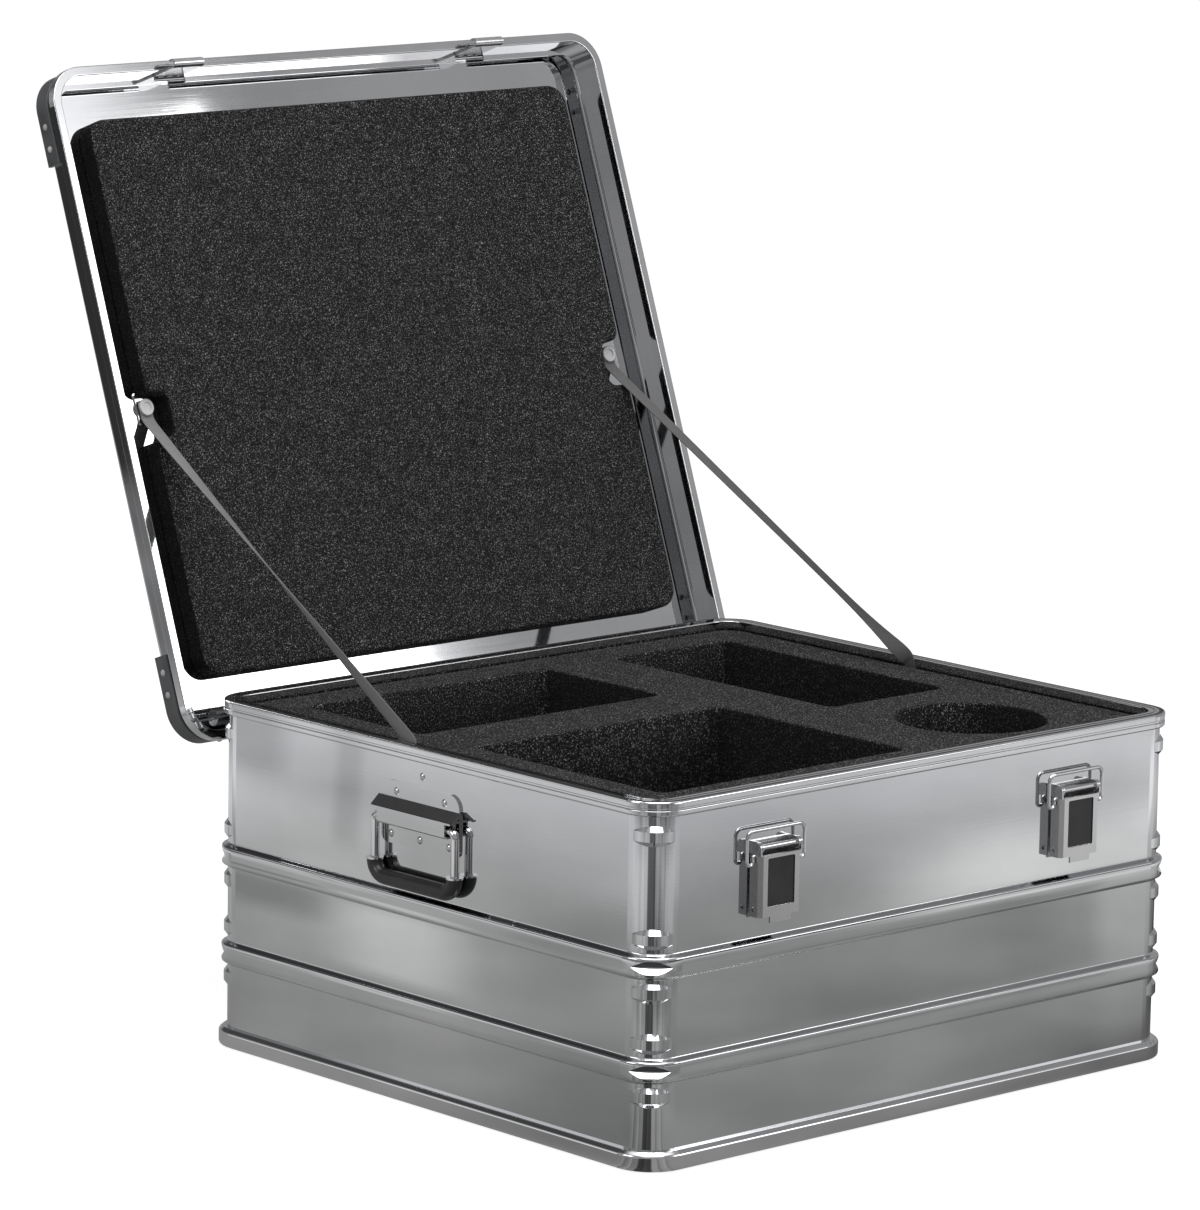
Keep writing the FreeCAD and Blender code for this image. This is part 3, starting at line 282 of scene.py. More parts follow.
def foam_finish(name, fineness):
    """Charcoal cell foam: dark cells with pale flecks of cut cell walls, and painted shade that makes it
    nearly black deep down and on the sides that face left and right."""
    material, graph, shader = new_finish(name)
    place = graph.place()
    cell = graph.cells(place, fineness * 0.82)
    fleck = graph.noise(place, scale=fineness, detail=2.0, rough=0.75)
    cloud = graph.noise(place, scale=90.0, detail=3.0, rough=0.6)
    tone = (fleck.step(0.46, 0.72) * 0.85 + cell * 0.2 + (cloud - 0.5) * 0.3).clamp()
    # Painted shade: darker deep in the pockets, and nearly black on the sides that face left and right
    depth = graph.split(place)[2].drop(POCKET_DARK, POCKET_LIT) * 0.62
    side = graph.split(graph.place(source="Normal"))[0].absolute().step(0.5, 0.9) * 0.8
    colour = graph.mix(depth.largest(side), graph.ramp(tone, FOAM_GREYS), linear(10))
    graph.feed(shader.inputs["Base Color"], colour)
    shader.inputs["Roughness"].default_value = 0.95
    shader.inputs["Specular IOR Level"].default_value = 0.15
    graph.feed(shader.inputs["Normal"], graph.bump(fleck + cell * 0.6, strength=0.6, distance=0.0012))
    return material


RIB_PITCH, WARP_PITCH = 0.0016, 0.0011


def webbing_finish(name, dark, bright, painted_lower_shade):
    """Grey woven webbing: ribs across the strap, a fine warp along it, and painted shade that darkens it
    towards its lower end.
    """
    material, graph, shader = new_finish(name)
    across, along, _ = graph.split(graph.place(source="UV"))
    rib = (along * (2 * math.pi / RIB_PITCH)).sine() * 0.5 + 0.5
    warp = (across * (2 * math.pi / WARP_PITCH)).sine() * 0.5 + 0.5
    weave = rib * 0.6 + warp * 0.4
    fuzz = graph.noise(graph.place(), scale=300.0, detail=3.0, rough=0.6)
    tone = (weave * 0.6 + fuzz * 0.4).clamp()
    # Painted shade: the strap darkens towards its lower end
    lower = along.step(0.06, 0.36) * painted_lower_shade
    colour = graph.mix(lower, graph.mix(tone, dark, bright), linear(16))
    graph.feed(shader.inputs["Base Color"], colour)
    graph.feed(shader.inputs["Roughness"], (0.62 + (fuzz - 0.5) * 0.3).clamp())
    graph.feed(shader.inputs["Normal"], graph.bump(weave, strength=0.5, distance=0.0006))
    return material


sheet_metal = metal(
    "bright_sheet", linear(202, 203, 205), linear(214, 215, 216), rough=0.035, rough_spread=0.025,
    grain_scale=(9, 9, 700), grain_share=0.3, wave=0.12, crowns=BEAD_HEIGHTS)
rim_metal = metal(
    "rim_extrusion", linear(206, 207, 208), linear(222, 222, 223), rough=0.06, rough_spread=0.04,
    grain_scale=(12, 12, 300), grain_share=0.3)
lid_metal = metal(
    "lid_sheet", linear(204, 205, 206), linear(216, 217, 218), rough=0.04, rough_spread=0.025,
    grain_scale=(9, 300, 300), grain_share=0.3)
latch_metal = metal(
    "latch_steel", linear(204, 204, 205), linear(220, 220, 221), rough=0.24, rough_spread=0.10,
    grain_scale=(300, 300, 40), grain_share=0.4)
handle_metal = metal(
    "handle_steel", linear(200, 201, 202), linear(214, 214, 215), rough=0.07, rough_spread=0.05,
    grain_scale=(40, 40, 300), grain_share=0.3)
wire_metal = metal(
    "plated_wire", linear(205, 205, 206), linear(226, 226, 227), rough=0.07, rough_spread=0.05,
    grain_scale=(200, 200, 200), grain_share=0.4)
rivet_metal = metal(
    "rivet_heads", linear(196, 197, 198), linear(216, 216, 217), rough=0.14, rough_spread=0.08,
    grain_scale=(400, 400, 400), grain_share=0.4)
hinge_metal = metal(
    "hinge_steel", linear(96, 97, 99), linear(120, 121, 122), rough=0.36, rough_spread=0.12,
    grain_scale=(30, 300, 300), grain_share=0.4)
bumper_plastic = plastic(
    "bumper_plastic", linear(58, 59, 60), linear(70, 71, 72), rough=0.42, grain=700.0, strength=0.2)
grip_rubber = plastic("grip_rubber", linear(26), linear(36), rough=0.34, grain=600.0, strength=0.15)
seal_rubber = plastic("seal_rubber", linear(26), linear(40), rough=0.55, grain=900.0, strength=0.25)
bush_plastic = plastic("bush_plastic", linear(18), linear(26), rough=0.5, grain=900.0, strength=0.2)
plate_paint = plastic("latch_plate_paint", linear(28), linear(38), rough=0.38, grain=1200.0, strength=0.1)
button_plastic = plastic("button_plastic", linear(176), linear(200), rough=0.4, grain=800.0, strength=0.1)
bumper_rivet_grey = plastic(
    "bumper_rivet_grey", linear(138), linear(160), rough=0.45, grain=900.0, strength=0.1)
insert_foam = foam_finish("insert_foam", fineness=720.0)
lid_foam = foam_finish("lid_foam", fineness=900.0)
# Painted shade: the right strap's webbing is a darker copy of the left's, for the shade of the lid
left_webbing = webbing_finish("left_webbing", linear(92), linear(146), painted_lower_shade=0.45)
shaded_right_webbing = webbing_finish("shaded_right_webbing", linear(66), linear(106), painted_lower_shade=0.6)

NODE_FINISH = {
    "body_wall": sheet_metal, "floor_pan": sheet_metal, "lid_panel": lid_metal, "bottom_rim": rim_metal,
    "top_rim": rim_metal, "lid_frame": rim_metal, "rim_seal": seal_rubber, "hinge_case_leaf": hinge_metal,
    "hinge_lid_leaf": hinge_metal, "hinge_pin": hinge_metal, "lid_bumper_rivets": bumper_rivet_grey,
}
LATCH_FINISH = {"face": plate_paint, "bail": wire_metal, "pin": wire_metal}
HANDLE_FINISH = {"bail": wire_metal, "collars": wire_metal, "grip": grip_rubber, "bushes": bush_plastic}


def finish_for(name):
    """The finish of a CAD node, by its name."""
    last_word = name.rsplit("_", 1)[-1]
    if name in NODE_FINISH:
        return NODE_FINISH[name]
    if name.endswith("rivets"):
        return rivet_metal
    if name.startswith("lid_bumper"):
        return bumper_plastic
    if name.startswith("lid_hook"):
        return latch_metal
    if name.startswith("latch"):
        return LATCH_FINISH.get(last_word, latch_metal)
    if name.startswith("handle"):
        return HANDLE_FINISH.get(last_word, handle_metal)
    if name.endswith("button"):
        return button_plastic
    return handle_metal


for name, node in nodes.items():
    node.data.materials.clear()
    node.data.materials.append(finish_for(name))


# Surfaces

MERGE_DISTANCE, SLIVER = 2e-6, 1e-7


def grid_faces(rows, columns):
    """Quads of a grid of rows by columns, whose last column joins the first."""
    row, column = np.meshgrid(np.arange(rows - 1), np.arange(columns), indexing="ij")
    after = (column + 1) % columns
    quads = np.stack([row * columns + column, row * columns + after,
                      (row + 1) * columns + after, (row + 1) * columns + column], -1)
    return quads.reshape(-1, 4)


def make_piece(name, grids, finish, uvs=None):
    """One mesh from grids of points, shape (rows, columns, 3); doubles at seams and poles are merged."""
    points = []
    faces = []
    start = 0
    for surface in grids:
        rows, columns = surface.shape[:2]
        points.append(surface.reshape(-1, 3))
        faces.append(grid_faces(rows, columns) + start)
        start += rows * columns
    points = np.concatenate(points)
    faces = np.concatenate(faces)
    mesh = bpy.data.meshes.new(name)
    mesh.from_pydata(points.tolist(), [], faces.tolist())
    if uvs is not None:
        layer = mesh.uv_layers.new(name="weave")
        loops = np.zeros(len(mesh.loops), int)
        mesh.loops.foreach_get("vertex_index", loops)
        layer.data.foreach_set("uv", uvs[loops].astype(np.float32).ravel())
    work = bmesh.new()
    work.from_mesh(mesh)
    bmesh.ops.remove_doubles(work, verts=work.verts, dist=MERGE_DISTANCE)
    bmesh.ops.dissolve_degenerate(work, edges=work.edges, dist=SLIVER)
    bmesh.ops.recalc_face_normals(work, faces=work.faces)
    work.to_mesh(mesh)
    work.free()
    mesh.polygons.foreach_set("use_smooth", np.ones(len(mesh.polygons), bool))
    mesh.materials.append(finish)
    piece = bpy.data.objects.new(name, mesh)
    bpy.context.scene.collection.objects.link(piece)
    return piece


def flat(points, height):
    """Points of the plane, lifted to a height."""
    return np.column_stack([points, np.full(len(points), height)])


def arc_points(centre, radius, turn):
    """Points of an arc."""
    return np.asarray(centre) + radius * np.column_stack([np.cos(turn), np.sin(turn)])


def without_doubles(loop):
    """A closed loop of points, less those that repeat the one before."""
    return loop[np.linalg.norm(loop - np.roll(loop, 1, axis=0), axis=1) > SLIVER]


# Foam insert

FOAM_LOW, FOAM_HIGH = (np.array(corner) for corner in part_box("foam_insert"))
FOAM_EDGE, FOAM_CORNER, FOAM_PITCH, POCKET_FOOT = 0.0022, 0.020, 0.006, 0.003
# Each pocket's ends in x and in y, the radius of its corners and its depth
POCKETS = [
    ((-0.237, 0.028), (0.071, 0.214), 0.007, 0.150),
    ((0.104, 0.237), (-0.054, 0.214), 0.007, 0.150),
    ((-0.237, 0.031), (-0.214, 0.005), 0.007, 0.190),
    ((0.100, 0.226), (-0.221, -0.095), 0.063, 0.150),
]
# Where the top is divided into a quarter for each pocket
SPLIT_X, SPLIT_LEFT, SPLIT_RIGHT = 0.066, 0.038, -0.0745
EXTRA_X, EXTRA_Y = np.array([SPLIT_X]), np.array([SPLIT_LEFT, SPLIT_RIGHT])
QUARTER_TURN = np.linspace(0, math.pi / 2, 13)
BEND = np.linspace(0, math.pi / 2, 5)
RAY_REACH, HALVINGS = 4.0, 44


def box_distance(points, centre, half, radius):
    """Signed distance from points in the plane to a rectangle with rounded corners."""
    away = np.abs(points - centre) - (np.asarray(half) - radius)
    outside = np.linalg.norm(np.maximum(away, 0), axis=-1)
    inside = np.minimum(np.max(away, axis=-1), 0)
    return outside + inside - radius


def along_rays(rim, centre, half, radius, offset):
    """Points on the rays from centre to rim that lie at an offset from the rounded rectangle, by halving."""
    low = np.zeros(len(rim))
    high = np.full(len(rim), RAY_REACH)
    for _ in range(HALVINGS):
        middle = (low + high) / 2
        beyond = box_distance(centre + (rim - centre) * middle[:, None], centre, half, radius) > offset
        high = np.where(beyond, middle, high)
        low = np.where(beyond, low, middle)
    return centre + (rim - centre) * low[:, None]


def side_points(low, high, extra):
    """Places along one side, one pitch apart, with extra ones that neighbours share."""
    steps = np.arange(math.ceil(low / FOAM_PITCH), math.floor(high / FOAM_PITCH) + 1)
    places = np.concatenate([steps * FOAM_PITCH, extra, [low, high]])
    places = places[(places >= low - 1e-9) & (places <= high + 1e-9)]
    return np.unique(np.round(places, 7))


def cell_rim(x_ends, y_ends, outer, radius):
    """Edge of one part of the foam's top, anticlockwise, with its outer corner rounded."""
    corners = [(0, 0), (1, 0), (1, 1), (0, 1)]
    loop = []
    for index, (a, b) in enumerate(corners):
        here = np.array([x_ends[a], y_ends[b]])
        following = corners[(index + 1) % 4]
        there = np.array([x_ends[following[0]], y_ends[following[1]]])
        axis = 0 if abs(there[0] - here[0]) > 0 else 1
        ahead = np.sign(there[axis] - here[axis])
        low, high = sorted((here[axis], there[axis]))
        trim_low = radius if (a, b) == outer else 0
        trim_high = radius if following == outer else 0
        if ahead < 0:
            trim_low, trim_high = trim_high, trim_low
        line = side_points(low + trim_low, high - trim_high, EXTRA_X if axis == 0 else EXTRA_Y)
        line = line if ahead > 0 else line[::-1]
        points = np.empty((len(line), 2))
        points[:, axis] = line
        points[:, 1 - axis] = here[1 - axis]
        if (a, b) == outer:
            sign = np.array([1 if a else -1, 1 if b else -1])
            middle = here - sign * radius
            first = math.atan2(points[0][1] - middle[1], points[0][0] - middle[0])
            loop.append(arc_points(middle, radius, first - math.pi / 2 + QUARTER_TURN))
        loop.append(points)
    return without_doubles(np.concatenate(loop))


def outer_rim(low, high, radius):
    """The whole rim of the foam's top, with the same points as the rims of its quarters."""
    inner_low = low + radius
    inner_high = high - radius
    xs = side_points(inner_low[0], inner_high[0], EXTRA_X)
    ys = side_points(inner_low[1], inner_high[1], EXTRA_Y)
    return without_doubles(np.concatenate([
        np.column_stack([xs, np.full(len(xs), low[1])]),
        arc_points((inner_high[0], inner_low[1]), radius, QUARTER_TURN - math.pi / 2),
        np.column_stack([np.full(len(ys), high[0]), ys]),
        arc_points(inner_high, radius, QUARTER_TURN),
        np.column_stack([xs[::-1], np.full(len(xs), high[1])]),
        arc_points((inner_low[0], inner_high[1]), radius, QUARTER_TURN + math.pi / 2),
        np.column_stack([np.full(len(ys), low[0]), ys[::-1]]),
        arc_points(inner_low, radius, QUARTER_TURN + math.pi),
    ]))


def pocket_rows(rim, pocket):
    """One quarter of the foam's top, in rows from its rim to the pocket's lip, over a rounded edge, down the
    wall, round the foot and across the floor to one point."""
    x_ends, y_ends, corner, depth = pocket
    centre = np.array([sum(x_ends) / 2, sum(y_ends) / 2])
    half = np.array([x_ends[1] - x_ends[0], y_ends[1] - y_ends[0]]) / 2
    edge, foot, top = FOAM_EDGE, POCKET_FOOT, FOAM_HIGH[2]

    def ring(offset):
        return along_rays(rim, centre, half, corner, offset)

    lip, wall, floor = ring(edge), ring(0.0), ring(-foot)
    rows = [flat(rim + (lip - rim) * share, top) for share in np.linspace(0, 1, 7)[:-1]]
    rows += [flat(ring(edge * (1 - math.sin(a))), top - edge * (1 - math.cos(a))) for a in BEND]
    rows += [flat(wall, top - edge - (depth - edge - foot) * share) for share in np.linspace(0, 1, 9)[1:]]
    rows += [flat(ring(-foot * (1 - math.cos(a))), top - depth + foot * (1 - math.sin(a))) for a in BEND[1:]]
    rows += [flat(centre + (floor - centre) * share, top - depth) for share in np.linspace(1, 0, 7)[1:]]
    return np.stack(rows)


def foam_block():
    """Foam insert: a quarter of its top for each pocket, and sides that are the outer rim carried down."""
    edge = FOAM_EDGE
    bottom, top = FOAM_LOW[2], FOAM_HIGH[2]
    low = FOAM_LOW[:2] + edge
    high = FOAM_HIGH[:2] - edge
    radius = FOAM_CORNER - edge
    quarters = [
        ((low[0], SPLIT_X), (SPLIT_LEFT, high[1]), (0, 1)),
        ((SPLIT_X, high[0]), (SPLIT_RIGHT, high[1]), (1, 1)),
        ((low[0], SPLIT_X), (low[1], SPLIT_LEFT), (0, 0)),
        ((SPLIT_X, high[0]), (low[1], SPLIT_RIGHT), (1, 0)),
    ]
    grids = [pocket_rows(cell_rim(x_ends, y_ends, outer, radius), pocket)
             for (x_ends, y_ends, outer), pocket in zip(quarters, POCKETS)]
    outline = outer_rim(low, high, radius)
    outward = outline - np.clip(outline, low + radius, high - radius)
    outward /= np.linalg.norm(outward, axis=1)[:, None]
    wall = outline + outward * edge
    middle = (low + high) / 2
    sides = [flat(outline + outward * edge * math.sin(a), top - edge * (1 - math.cos(a))) for a in BEND]
    sides += [flat(wall, top - edge + (bottom - top + edge) * share) for share in np.linspace(0, 1, 9)[1:]]
    sides += [flat(middle + (wall - middle) * share, bottom) for share in (0.5, 0.0)]
    return make_piece("foam_insert_block", grids + [np.stack(sides)], insert_foam)


# Lid foam

HINGE_Y, HINGE_Z, OPEN = 0.277, 0.271, math.radians(110)
LID_TOP = 0.3045
# Outline of the pad on the right: half width, ends, the notch's depth and ends, and the radii
PAD_HALF, PAD_FRONT, PAD_REAR, PAD_CORNER = 0.268, -0.237, 0.240, 0.018
NOTCH_X, NOTCH_LOW, NOTCH_HIGH, NOTCH_BEND = 0.246, -0.002, 0.038, 0.009
PAD_THICK, PAD_EDGE, PAD_PITCH = 0.016, 0.0026, 0.008
PAD_INNER = np.array([0.22, 0.20])


def open_lid(points):
    """Turns points of the shut lid to the open place, about the hinge."""
    y = points[..., 1] - HINGE_Y
    z = points[..., 2] - HINGE_Z
    cosine, sine = math.cos(-OPEN), math.sin(-OPEN)
    return np.stack([points[..., 0], HINGE_Y + y * cosine - z * sine, HINGE_Z + y * sine + z * cosine], -1)


def rounded_loop(corners, pitch):
    """A closed outline through corners (x, y, radius), as arcs and straight runs of points."""
    count = len(corners)
    runs = []
    for index in range(count):
        before, here, after = (np.array(corners[(index + k) % count][:2]) for k in (-1, 0, 1))
        radius = corners[index][2]
        to_before = (before - here) / np.linalg.norm(before - here)
        to_after = (after - here) / np.linalg.norm(after - here)
        half = math.acos(np.clip(to_before @ to_after, -1, 1)) / 2
        reach = radius / math.tan(half)
        inward = (to_before + to_after) / np.linalg.norm(to_before + to_after)
        middle = here + inward * radius / math.sin(half)
        first = here + to_before * reach - middle
        last = here + to_after * reach - middle
        turn = math.atan2(first[0] * last[1] - first[1] * last[0], first @ last)
        angle = math.atan2(first[1], first[0]) + np.linspace(0, turn, 12)
        runs.append(arc_points(middle, radius, angle))
    loop = []
    for index in range(count):
        loop.append(runs[index])
        start, end = runs[index][-1], runs[(index + 1) % count][0]
        steps = max(int(np.linalg.norm(end - start) / pitch), 1)
        share = np.linspace(0, 1, steps + 1)[1:-1, None]
        loop.append(start + (end - start) * share)
    return np.concatenate(loop)


def lid_pad():
    """Lid foam: its notched outline carried from the panel up, over a rounded edge, and drawn in to the
    middle by way of the nearest point of an inner rectangle."""
    right = [
        (PAD_HALF, PAD_FRONT, PAD_CORNER), (PAD_HALF, NOTCH_LOW, NOTCH_BEND),
        (NOTCH_X, NOTCH_LOW, NOTCH_BEND), (NOTCH_X, NOTCH_HIGH, NOTCH_BEND),
        (PAD_HALF, NOTCH_HIGH, NOTCH_BEND), (PAD_HALF, PAD_REAR, PAD_CORNER),
    ]
    outline = rounded_loop(right + [(-x, y, r) for x, y, r in reversed(right)], PAD_PITCH)
    ahead = np.roll(outline, -1, axis=0) - np.roll(outline, 1, axis=0)
    normal = np.column_stack([ahead[:, 1], -ahead[:, 0]]) / np.linalg.norm(ahead, axis=1)[:, None]
    edge, back, face = PAD_EDGE, LID_TOP, LID_TOP - PAD_THICK
    bend = np.linspace(0, math.pi / 2, 6)[1:]
    rows = [flat(outline * share, back) for share in (0.0, 0.6)]
    rows += [flat(outline, back + (face + edge - back) * share) for share in np.linspace(0, 1, 6)]
    rows += [flat(outline - normal * edge * (1 - math.cos(a)), face + edge * (1 - math.sin(a))) for a in bend]
    lip = outline - normal * edge
    inside = np.clip(lip, -PAD_INNER, PAD_INNER)
    rows += [flat(lip + (inside - lip) * share, face) for share in np.linspace(0, 1, 5)[1:]]
    rows += [flat(inside * share, face) for share in np.linspace(1, 0, 12)[1:]]
    return make_piece("lid_foam_pad", [open_lid(np.stack(rows))], lid_foam)


# Stay straps

STRAP_WIDTH, STRAP_THICK, STRAP_GAP = 0.013, 0.0012, 0.0001
# The button's middle on the shut lid, the strap's ends past it and the post that lifts the strap
BUTTON_X, BUTTON_Y, STRAP_TAIL, STRAP_LEAD, POST_HEIGHT = 0.262, 0.008, 0.006, 0.011, 0.002
# The clip's wall inside the rim and its thickness, and the strap's place and heights there
CLIP_X, CLIP_THICK, CLIP_Y, KNEE_Z, FOOT_Z = 0.283, 0.0009, 0.030, 0.290, 0.272
# Points along the strap, those at each end that aren't smoothed, and the smoothing window
STATIONS, STRAP_END, WINDOW = 220, 8, np.hanning(9)
SWAY = math.radians(20)


def stay_strap(side):
    """Webbing stay: flat under the lid's button, then a quarter twist down to the clip inside the rim. Its
    flat rounded section is carried along the path and turned about it by the twist: evenly on the left, and
    on the right with a slight sway back first and most of the turn near the clip."""
    button_z = LID_TOP - POST_HEIGHT - STRAP_GAP - STRAP_THICK / 2
    tail, lead = (open_lid(np.array([side * BUTTON_X, BUTTON_Y + along, button_z]))
                  for along in (-STRAP_TAIL, STRAP_LEAD))
    x_case = side * (CLIP_X - CLIP_THICK - STRAP_GAP - STRAP_THICK / 2)
    knee = np.array([x_case, CLIP_Y, KNEE_Z])
    foot = np.array([x_case, CLIP_Y, FOOT_Z])
    corners = np.array([tail, lead, knee, foot])
    lengths = np.linalg.norm(np.diff(corners, axis=0), axis=1)
    reach = np.concatenate([[0], np.cumsum(lengths)])
    travel = np.linspace(0, reach[-1], STATIONS)
    path = np.column_stack([np.interp(travel, reach, corners[:, k]) for k in range(3)])
    weight = np.convolve(np.ones(STATIONS), WINDOW, "same")
    smooth = np.column_stack([np.convolve(path[:, k], WINDOW, "same") / weight for k in range(3)])
    path[STRAP_END:-STRAP_END] = smooth[STRAP_END:-STRAP_END]
    tangent = np.gradient(path, axis=0)
    tangent /= np.linalg.norm(tangent, axis=1)[:, None]
    share = np.clip((travel - reach[1]) / lengths[1], 0, 1)
    if side < 0:
        name, finish = "stay_strap_left", left_webbing
        angle = -math.pi / 2 * share
    else:
        name, finish = "stay_strap_right", shaded_right_webbing
        angle = math.pi / 2 * share ** 14 - SWAY * share * (1 - share ** 12)
    across = np.array([side, 0.0, 0.0]) - tangent * (tangent[:, :1] * side)
    across /= np.linalg.norm(across, axis=1)[:, None]
    other = np.cross(tangent, across)
    turned = across * np.cos(angle)[:, None] + other * np.sin(angle)[:, None]
    normal = np.cross(tangent, turned)
    half, thick = STRAP_WIDTH / 2, STRAP_THICK / 2
    cap = np.linspace(-math.pi / 2, math.pi / 2, 6)
    wide = np.concatenate([half - thick + thick * np.cos(cap), -(half - thick) - thick * np.cos(cap)])
    high = np.concatenate([thick * np.sin(cap), -thick * np.sin(cap)])
    surface = path[:, None] + turned[:, None] * wide[None, :, None] + normal[:, None] * high[None, :, None]
    ends = [np.repeat(path[end, None, None], wide.size, 1) for end in (0, -1)]
    rows = np.concatenate([ends[0], surface, ends[1]])
    run = np.concatenate([[0], travel, [travel[-1]]])
    uvs = np.stack(np.broadcast_arrays(wide[None, :], run[:, None]), -1).reshape(-1, 2)
    return make_piece(name, [rows], finish, uvs), float(reach[-1]), knee, lead


def dress_soft_pieces():
    """Makes the foam and the straps and puts them in place of their plain solids."""
    for make, body, node_name in ((foam_block, "case", "foam_insert"), (lid_pad, "lid", "lid_foam")):
        block = make()
        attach(block, body)
        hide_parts(node_name)
    for side, name in ((-1, "left"), (1, "right")):
        strap, length, knee, lead = stay_strap(side)
        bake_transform(strap)
        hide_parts("strap_" + name)


dress_soft_pieces()


# Studio

WHITE = (1, 1, 1, 1)


def ray_kinds(graph):
    """What the camera sees, and what metal or glass shows."""
    ray = graph.node("ShaderNodeLightPath").outputs
    mirrored = Value(graph, ray["Is Glossy Ray"]) + Value(graph, ray["Is Transmission Ray"])
    return Value(graph, ray["Is Camera Ray"]), mirrored.clamp()


def studio_world():
    """White behind the object for the camera; the metal mirrors the same studio with its soft boxes."""
    world = bpy.data.worlds.new("studio")
    bpy.context.scene.world = world
    world.use_nodes = True
    graph = Graph(world.node_tree)
    where = graph.node("ShaderNodeTexCoord").outputs["Generated"]
    x, y, z = graph.split(where)
    aside = x / y * -1
    cloud = graph.noise(where, scale=9.0, detail=2.0, rough=0.5)
    zenith = z.step(0.78, 0.9)
    front_box = (x * 0.62 - y * 0.70 + z * 0.34).step(0.9, 0.975) * z.step(0.22, 0.3)
    front_box = front_box * (1 - (x + (z - 0.4) * 0.334).step(0.616, 0.6305) * 0.94)
    low_front = z.step(0.02, 0.08) * z.drop(0.24, 0.3) * (y * -1).step(0.3, 0.5)
    low_front = low_front * aside.step(0.82, 0.9) * aside.drop(1.3, 1.6)
    low_left = z.step(0.0, 0.04) * z.drop(0.28, 0.38) * y.step(0.3, 0.5)
    low_left = low_left * aside.step(0.83, 0.87) * aside.drop(1.15, 1.3)
    rear_dark = (x * 0.05 + y * 0.72 + z * 0.69).step(0.8, 0.95)
    level = 0.34 + (cloud - 0.5) * 0.5 + zenith * 1.1 + front_box * 1.1 + low_left * 0.7 + low_front
    level = (level * (1 - rear_dark * 0.8)).largest(0.03)
    soft, boxes, bright = (
        graph.node("ShaderNodeBackground", {}, {"Color": colour, "Strength": 1.0})
        for colour in ((0.62, 0.62, 0.63, 1), graph.grey(level, level * 1.02), WHITE))
    seen, mirrored = ray_kinds(graph)
    whole = graph.blend(seen, graph.blend(mirrored, soft, boxes), bright)
    output = graph.node("ShaderNodeOutputWorld")
    graph.feed(output.inputs["Surface"], whole.outputs[0])


# Where the walls stand, and how far the mirrored line of sight slides along them and rises per metre off them
LEFT_WALL, LEFT_SLIDE, LEFT_RISE = -0.2945, 1.149, 0.362
FRONT_WALL, FRONT_SLIDE, FRONT_RISE = -0.267, 1.054, 0.34


def shown_at(along, off, slide, rise):
    """Where a point of the floor shows on a wall: the place along it and the height, both carried back along
    the mirrored line of sight."""
    return along + off * slide, off * -rise


def left_patches(x, y):
    """Pools of light and shade that the left wall mirrors, laid out by where they show on it."""
    u, h = shown_at(y, x - LEFT_WALL, LEFT_SLIDE, LEFT_RISE)
    upper = h.step(0.165, 0.18)
    middle = h.step(0.085, 0.1) * h.drop(0.145, 0.158)
    pool = u.step(0.0, 0.09) * upper * h.drop(0.225, 0.27) * 0.15
    corner = u.step(0.19, 0.25) * h.step(0.24, 0.275) * -0.2
    bar = u.near(0.118, 0.008, 0.03) * h.step(0.19, 0.22) * -0.14
    glow = u.near(0.035, 0.02, 0.13) * middle * 0.24
    shade = u.step(0.1, 0.17) * middle * h.step(0.115, 0.135) * -0.15
    front = u.drop(-0.2, -0.04) * h.drop(0.2, 0.24) * -0.07
    side = (y + 0.3).step(-0.05, 0.05) * h.step(0.0, 0.01)
    return (pool + corner + bar + glow + shade + front) * side


def front_patches(x, y):
    """Pools of light and shade that the front wall mirrors, laid out in the same way."""
    u, h = shown_at(x, y - FRONT_WALL, FRONT_SLIDE, FRONT_RISE)
    upper = h.step(0.16, 0.18)
    before_end = u.drop(0.2, 0.24)
    pool = u.step(-0.12, 0.1) * upper * h.drop(0.2, 0.265) * 0.4
    corner = u.drop(-0.22, -0.02) * upper * -0.16
    middle = h.step(0.075, 0.095) * (1 - upper) * before_end * -0.12
    low = u.step(-0.05, 0.1) * h.drop(0.065, 0.08) * before_end * -0.03
    end = u.step(0.1, 0.27) * (1 - upper) * 0.1
    side = (x + 0.3).step(-0.05, 0.05) * h.step(0.0, 0.01)
    return (pool + corner + middle + low + end) * side


FLOOR_REACH, FLOOR_SINK = 30.0, 0.0006
CASE_HALF_X, CASE_HALF_Y = 0.29, 0.265
# Axis of the rounded corner between the left and the front wall
CORNER_X, CORNER_Y = -0.265, -0.2375


def floor_level(graph):
    """How bright the floor is where metal mirrors it, and its share of blue."""
    place = graph.place()
    x, y, _ = graph.split(place)
    away = (x.absolute() - CASE_HALF_X).largest(y.absolute() - CASE_HALF_Y)
    from_x = x - CORNER_X
    from_y = y - CORNER_Y
    far = (from_x * from_x + from_y * from_y).root()
    close = far.drop(1.3, 1.9)
    pool = away.step(-0.1, 0.45) * 0.16 + away.step(0.5, 1.0) * 0.34
    dim = away.step(1.0, 1.4) * 0.38 + away.step(1.9, 2.8) * 0.3
    to_camera = ((from_x * -0.80 + from_y * -0.60) / far).step(0.965, 0.985) * close
    cloud = graph.noise(place, scale=3.2, detail=2.0, rough=0.5) - 0.5
    sideways = (from_x * 0.6 - from_y * 0.8) / far
    corner = sideways.absolute().drop(0.62, 0.88) * close
    shade = (sideways.step(0.1, 0.3) * -0.36 + (sideways * -1).step(0.1, 0.3) * -0.08) * far.step(0.35, 0.75)
    streaks = (sideways * 24).sine() * 0.06 + (sideways * 53).sine() * 0.03
    patches = left_patches(x, y) + front_patches(x, y) + (shade + streaks) * corner
    level = ((0.3 + pool - dim + cloud * 0.3 + patches) * (1 - to_camera * 0.8)).largest(0.04)
    return level, 0.985 + away.step(0.5, 0.9) * 0.03


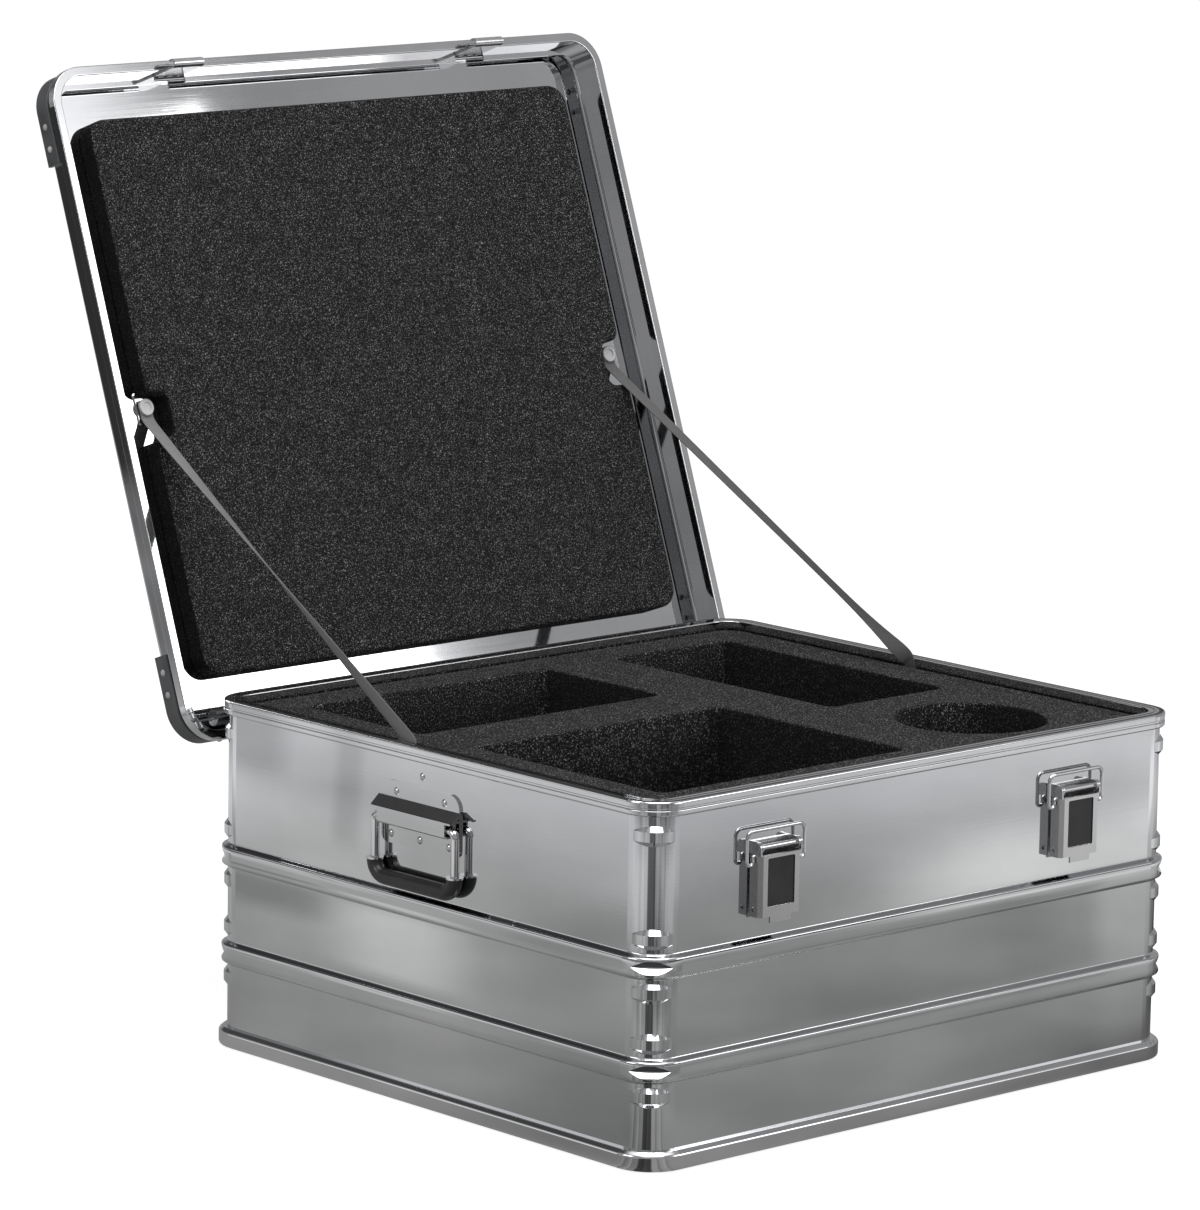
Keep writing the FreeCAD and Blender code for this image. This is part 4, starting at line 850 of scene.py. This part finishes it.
def studio_floor():
    """Pale floor: white to the camera, with the case's soft shadow; metal mirrors its pools of light."""
    mesh = bpy.data.meshes.new("floor")
    ends = [(-1, -1), (1, -1), (1, 1), (-1, 1)]
    mesh.from_pydata([(FLOOR_REACH * x, FLOOR_REACH * y, 0) for x, y in ends], [], [(0, 1, 2, 3)])
    floor = bpy.data.objects.new("floor", mesh)
    floor.location.z = -FLOOR_SINK
    bpy.context.scene.collection.objects.link(floor)
    material = bpy.data.materials.new("pale_floor")
    material.use_nodes = True
    graph = Graph(material.node_tree)
    level, blue = floor_level(graph)
    pale = graph.node("ShaderNodeBsdfDiffuse", {}, {"Color": (0.55, 0.55, 0.55, 1)})
    lit = graph.node("ShaderNodeBsdfDiffuse", {}, {"Color": (0.35, 0.35, 0.35, 1)})
    glow = graph.node("ShaderNodeEmission", {}, {"Color": WHITE, "Strength": 0.8})
    pools = graph.node("ShaderNodeEmission", {}, {"Color": graph.grey(level, level * blue), "Strength": 1.0})
    both = graph.node("ShaderNodeAddShader")
    graph.feed(both.inputs[0], lit.outputs[0])
    graph.feed(both.inputs[1], glow.outputs[0])
    seen, mirrored = ray_kinds(graph)
    whole = graph.blend(seen, graph.blend(mirrored, pale, pools), both)
    output = graph.node("ShaderNodeOutputMaterial")
    graph.feed(output.inputs["Surface"], whole.outputs[0])
    mesh.materials.append(material)


def placed(right, up, back, place):
    """Matrix with the given axes and place."""
    rows = np.column_stack([right, up, back, place]).tolist()
    return Matrix(rows + [[0, 0, 0, 1]])


LAMP_AIM = (0, 0, 0.3)


def soft_box(name, place, size, power):
    """A square area lamp that looks at the case."""
    lamp = bpy.data.lights.new(name, "AREA")
    lamp.shape = "SQUARE"
    lamp.size = size
    lamp.energy = power
    lamp_object = bpy.data.objects.new(name, lamp)
    bpy.context.scene.collection.objects.link(lamp_object)
    back = np.array(place, float) - np.array(LAMP_AIM, float)
    back /= np.linalg.norm(back)
    right = np.cross((0, 0, 1), back)
    right /= np.linalg.norm(right)
    up = np.cross(back, right)
    lamp_object.matrix_world = placed(right, up, back, place)


# The photograph's point of view, fitted to the case's edges: yaw, pitch and roll in degrees, place and lens
VIEW_TURNS = (-42.614, 10.478, 0.932)
EYE = (-3.52192, -3.71050, 1.31929)
LENS_MM, SENSOR_MM = 190.0, 36.0


def camera():
    """The camera at the photograph's point of view."""
    yaw, pitch, roll = (math.radians(angle) for angle in VIEW_TURNS)
    back = np.array([math.sin(yaw) * math.cos(pitch), -math.cos(yaw) * math.cos(pitch), math.sin(pitch)])
    right = np.array([math.cos(yaw), math.sin(yaw), 0.0])
    up = np.cross(back, right)
    across = math.cos(roll) * right + math.sin(roll) * up
    above = -math.sin(roll) * right + math.cos(roll) * up
    lens = bpy.data.cameras.new("camera")
    lens.lens = LENS_MM
    lens.sensor_width = SENSOR_MM
    lens.sensor_fit = "HORIZONTAL"
    lens.clip_end = 200.0
    view = bpy.data.objects.new("camera", lens)
    bpy.context.scene.collection.objects.link(view)
    view.matrix_world = placed(across, above, back, EYE)
    bpy.context.scene.camera = view


studio_world()
studio_floor()
soft_box("top_box", (-0.6, -0.9, 3.2), size=2.4, power=60)
soft_box("left_box", (-3.4, 0.6, 2.0), size=1.6, power=25)
soft_box("right_box", (2.2, -3.2, 1.9), size=1.6, power=25)
camera()
bpy.context.scene.view_settings.view_transform = "Standard"
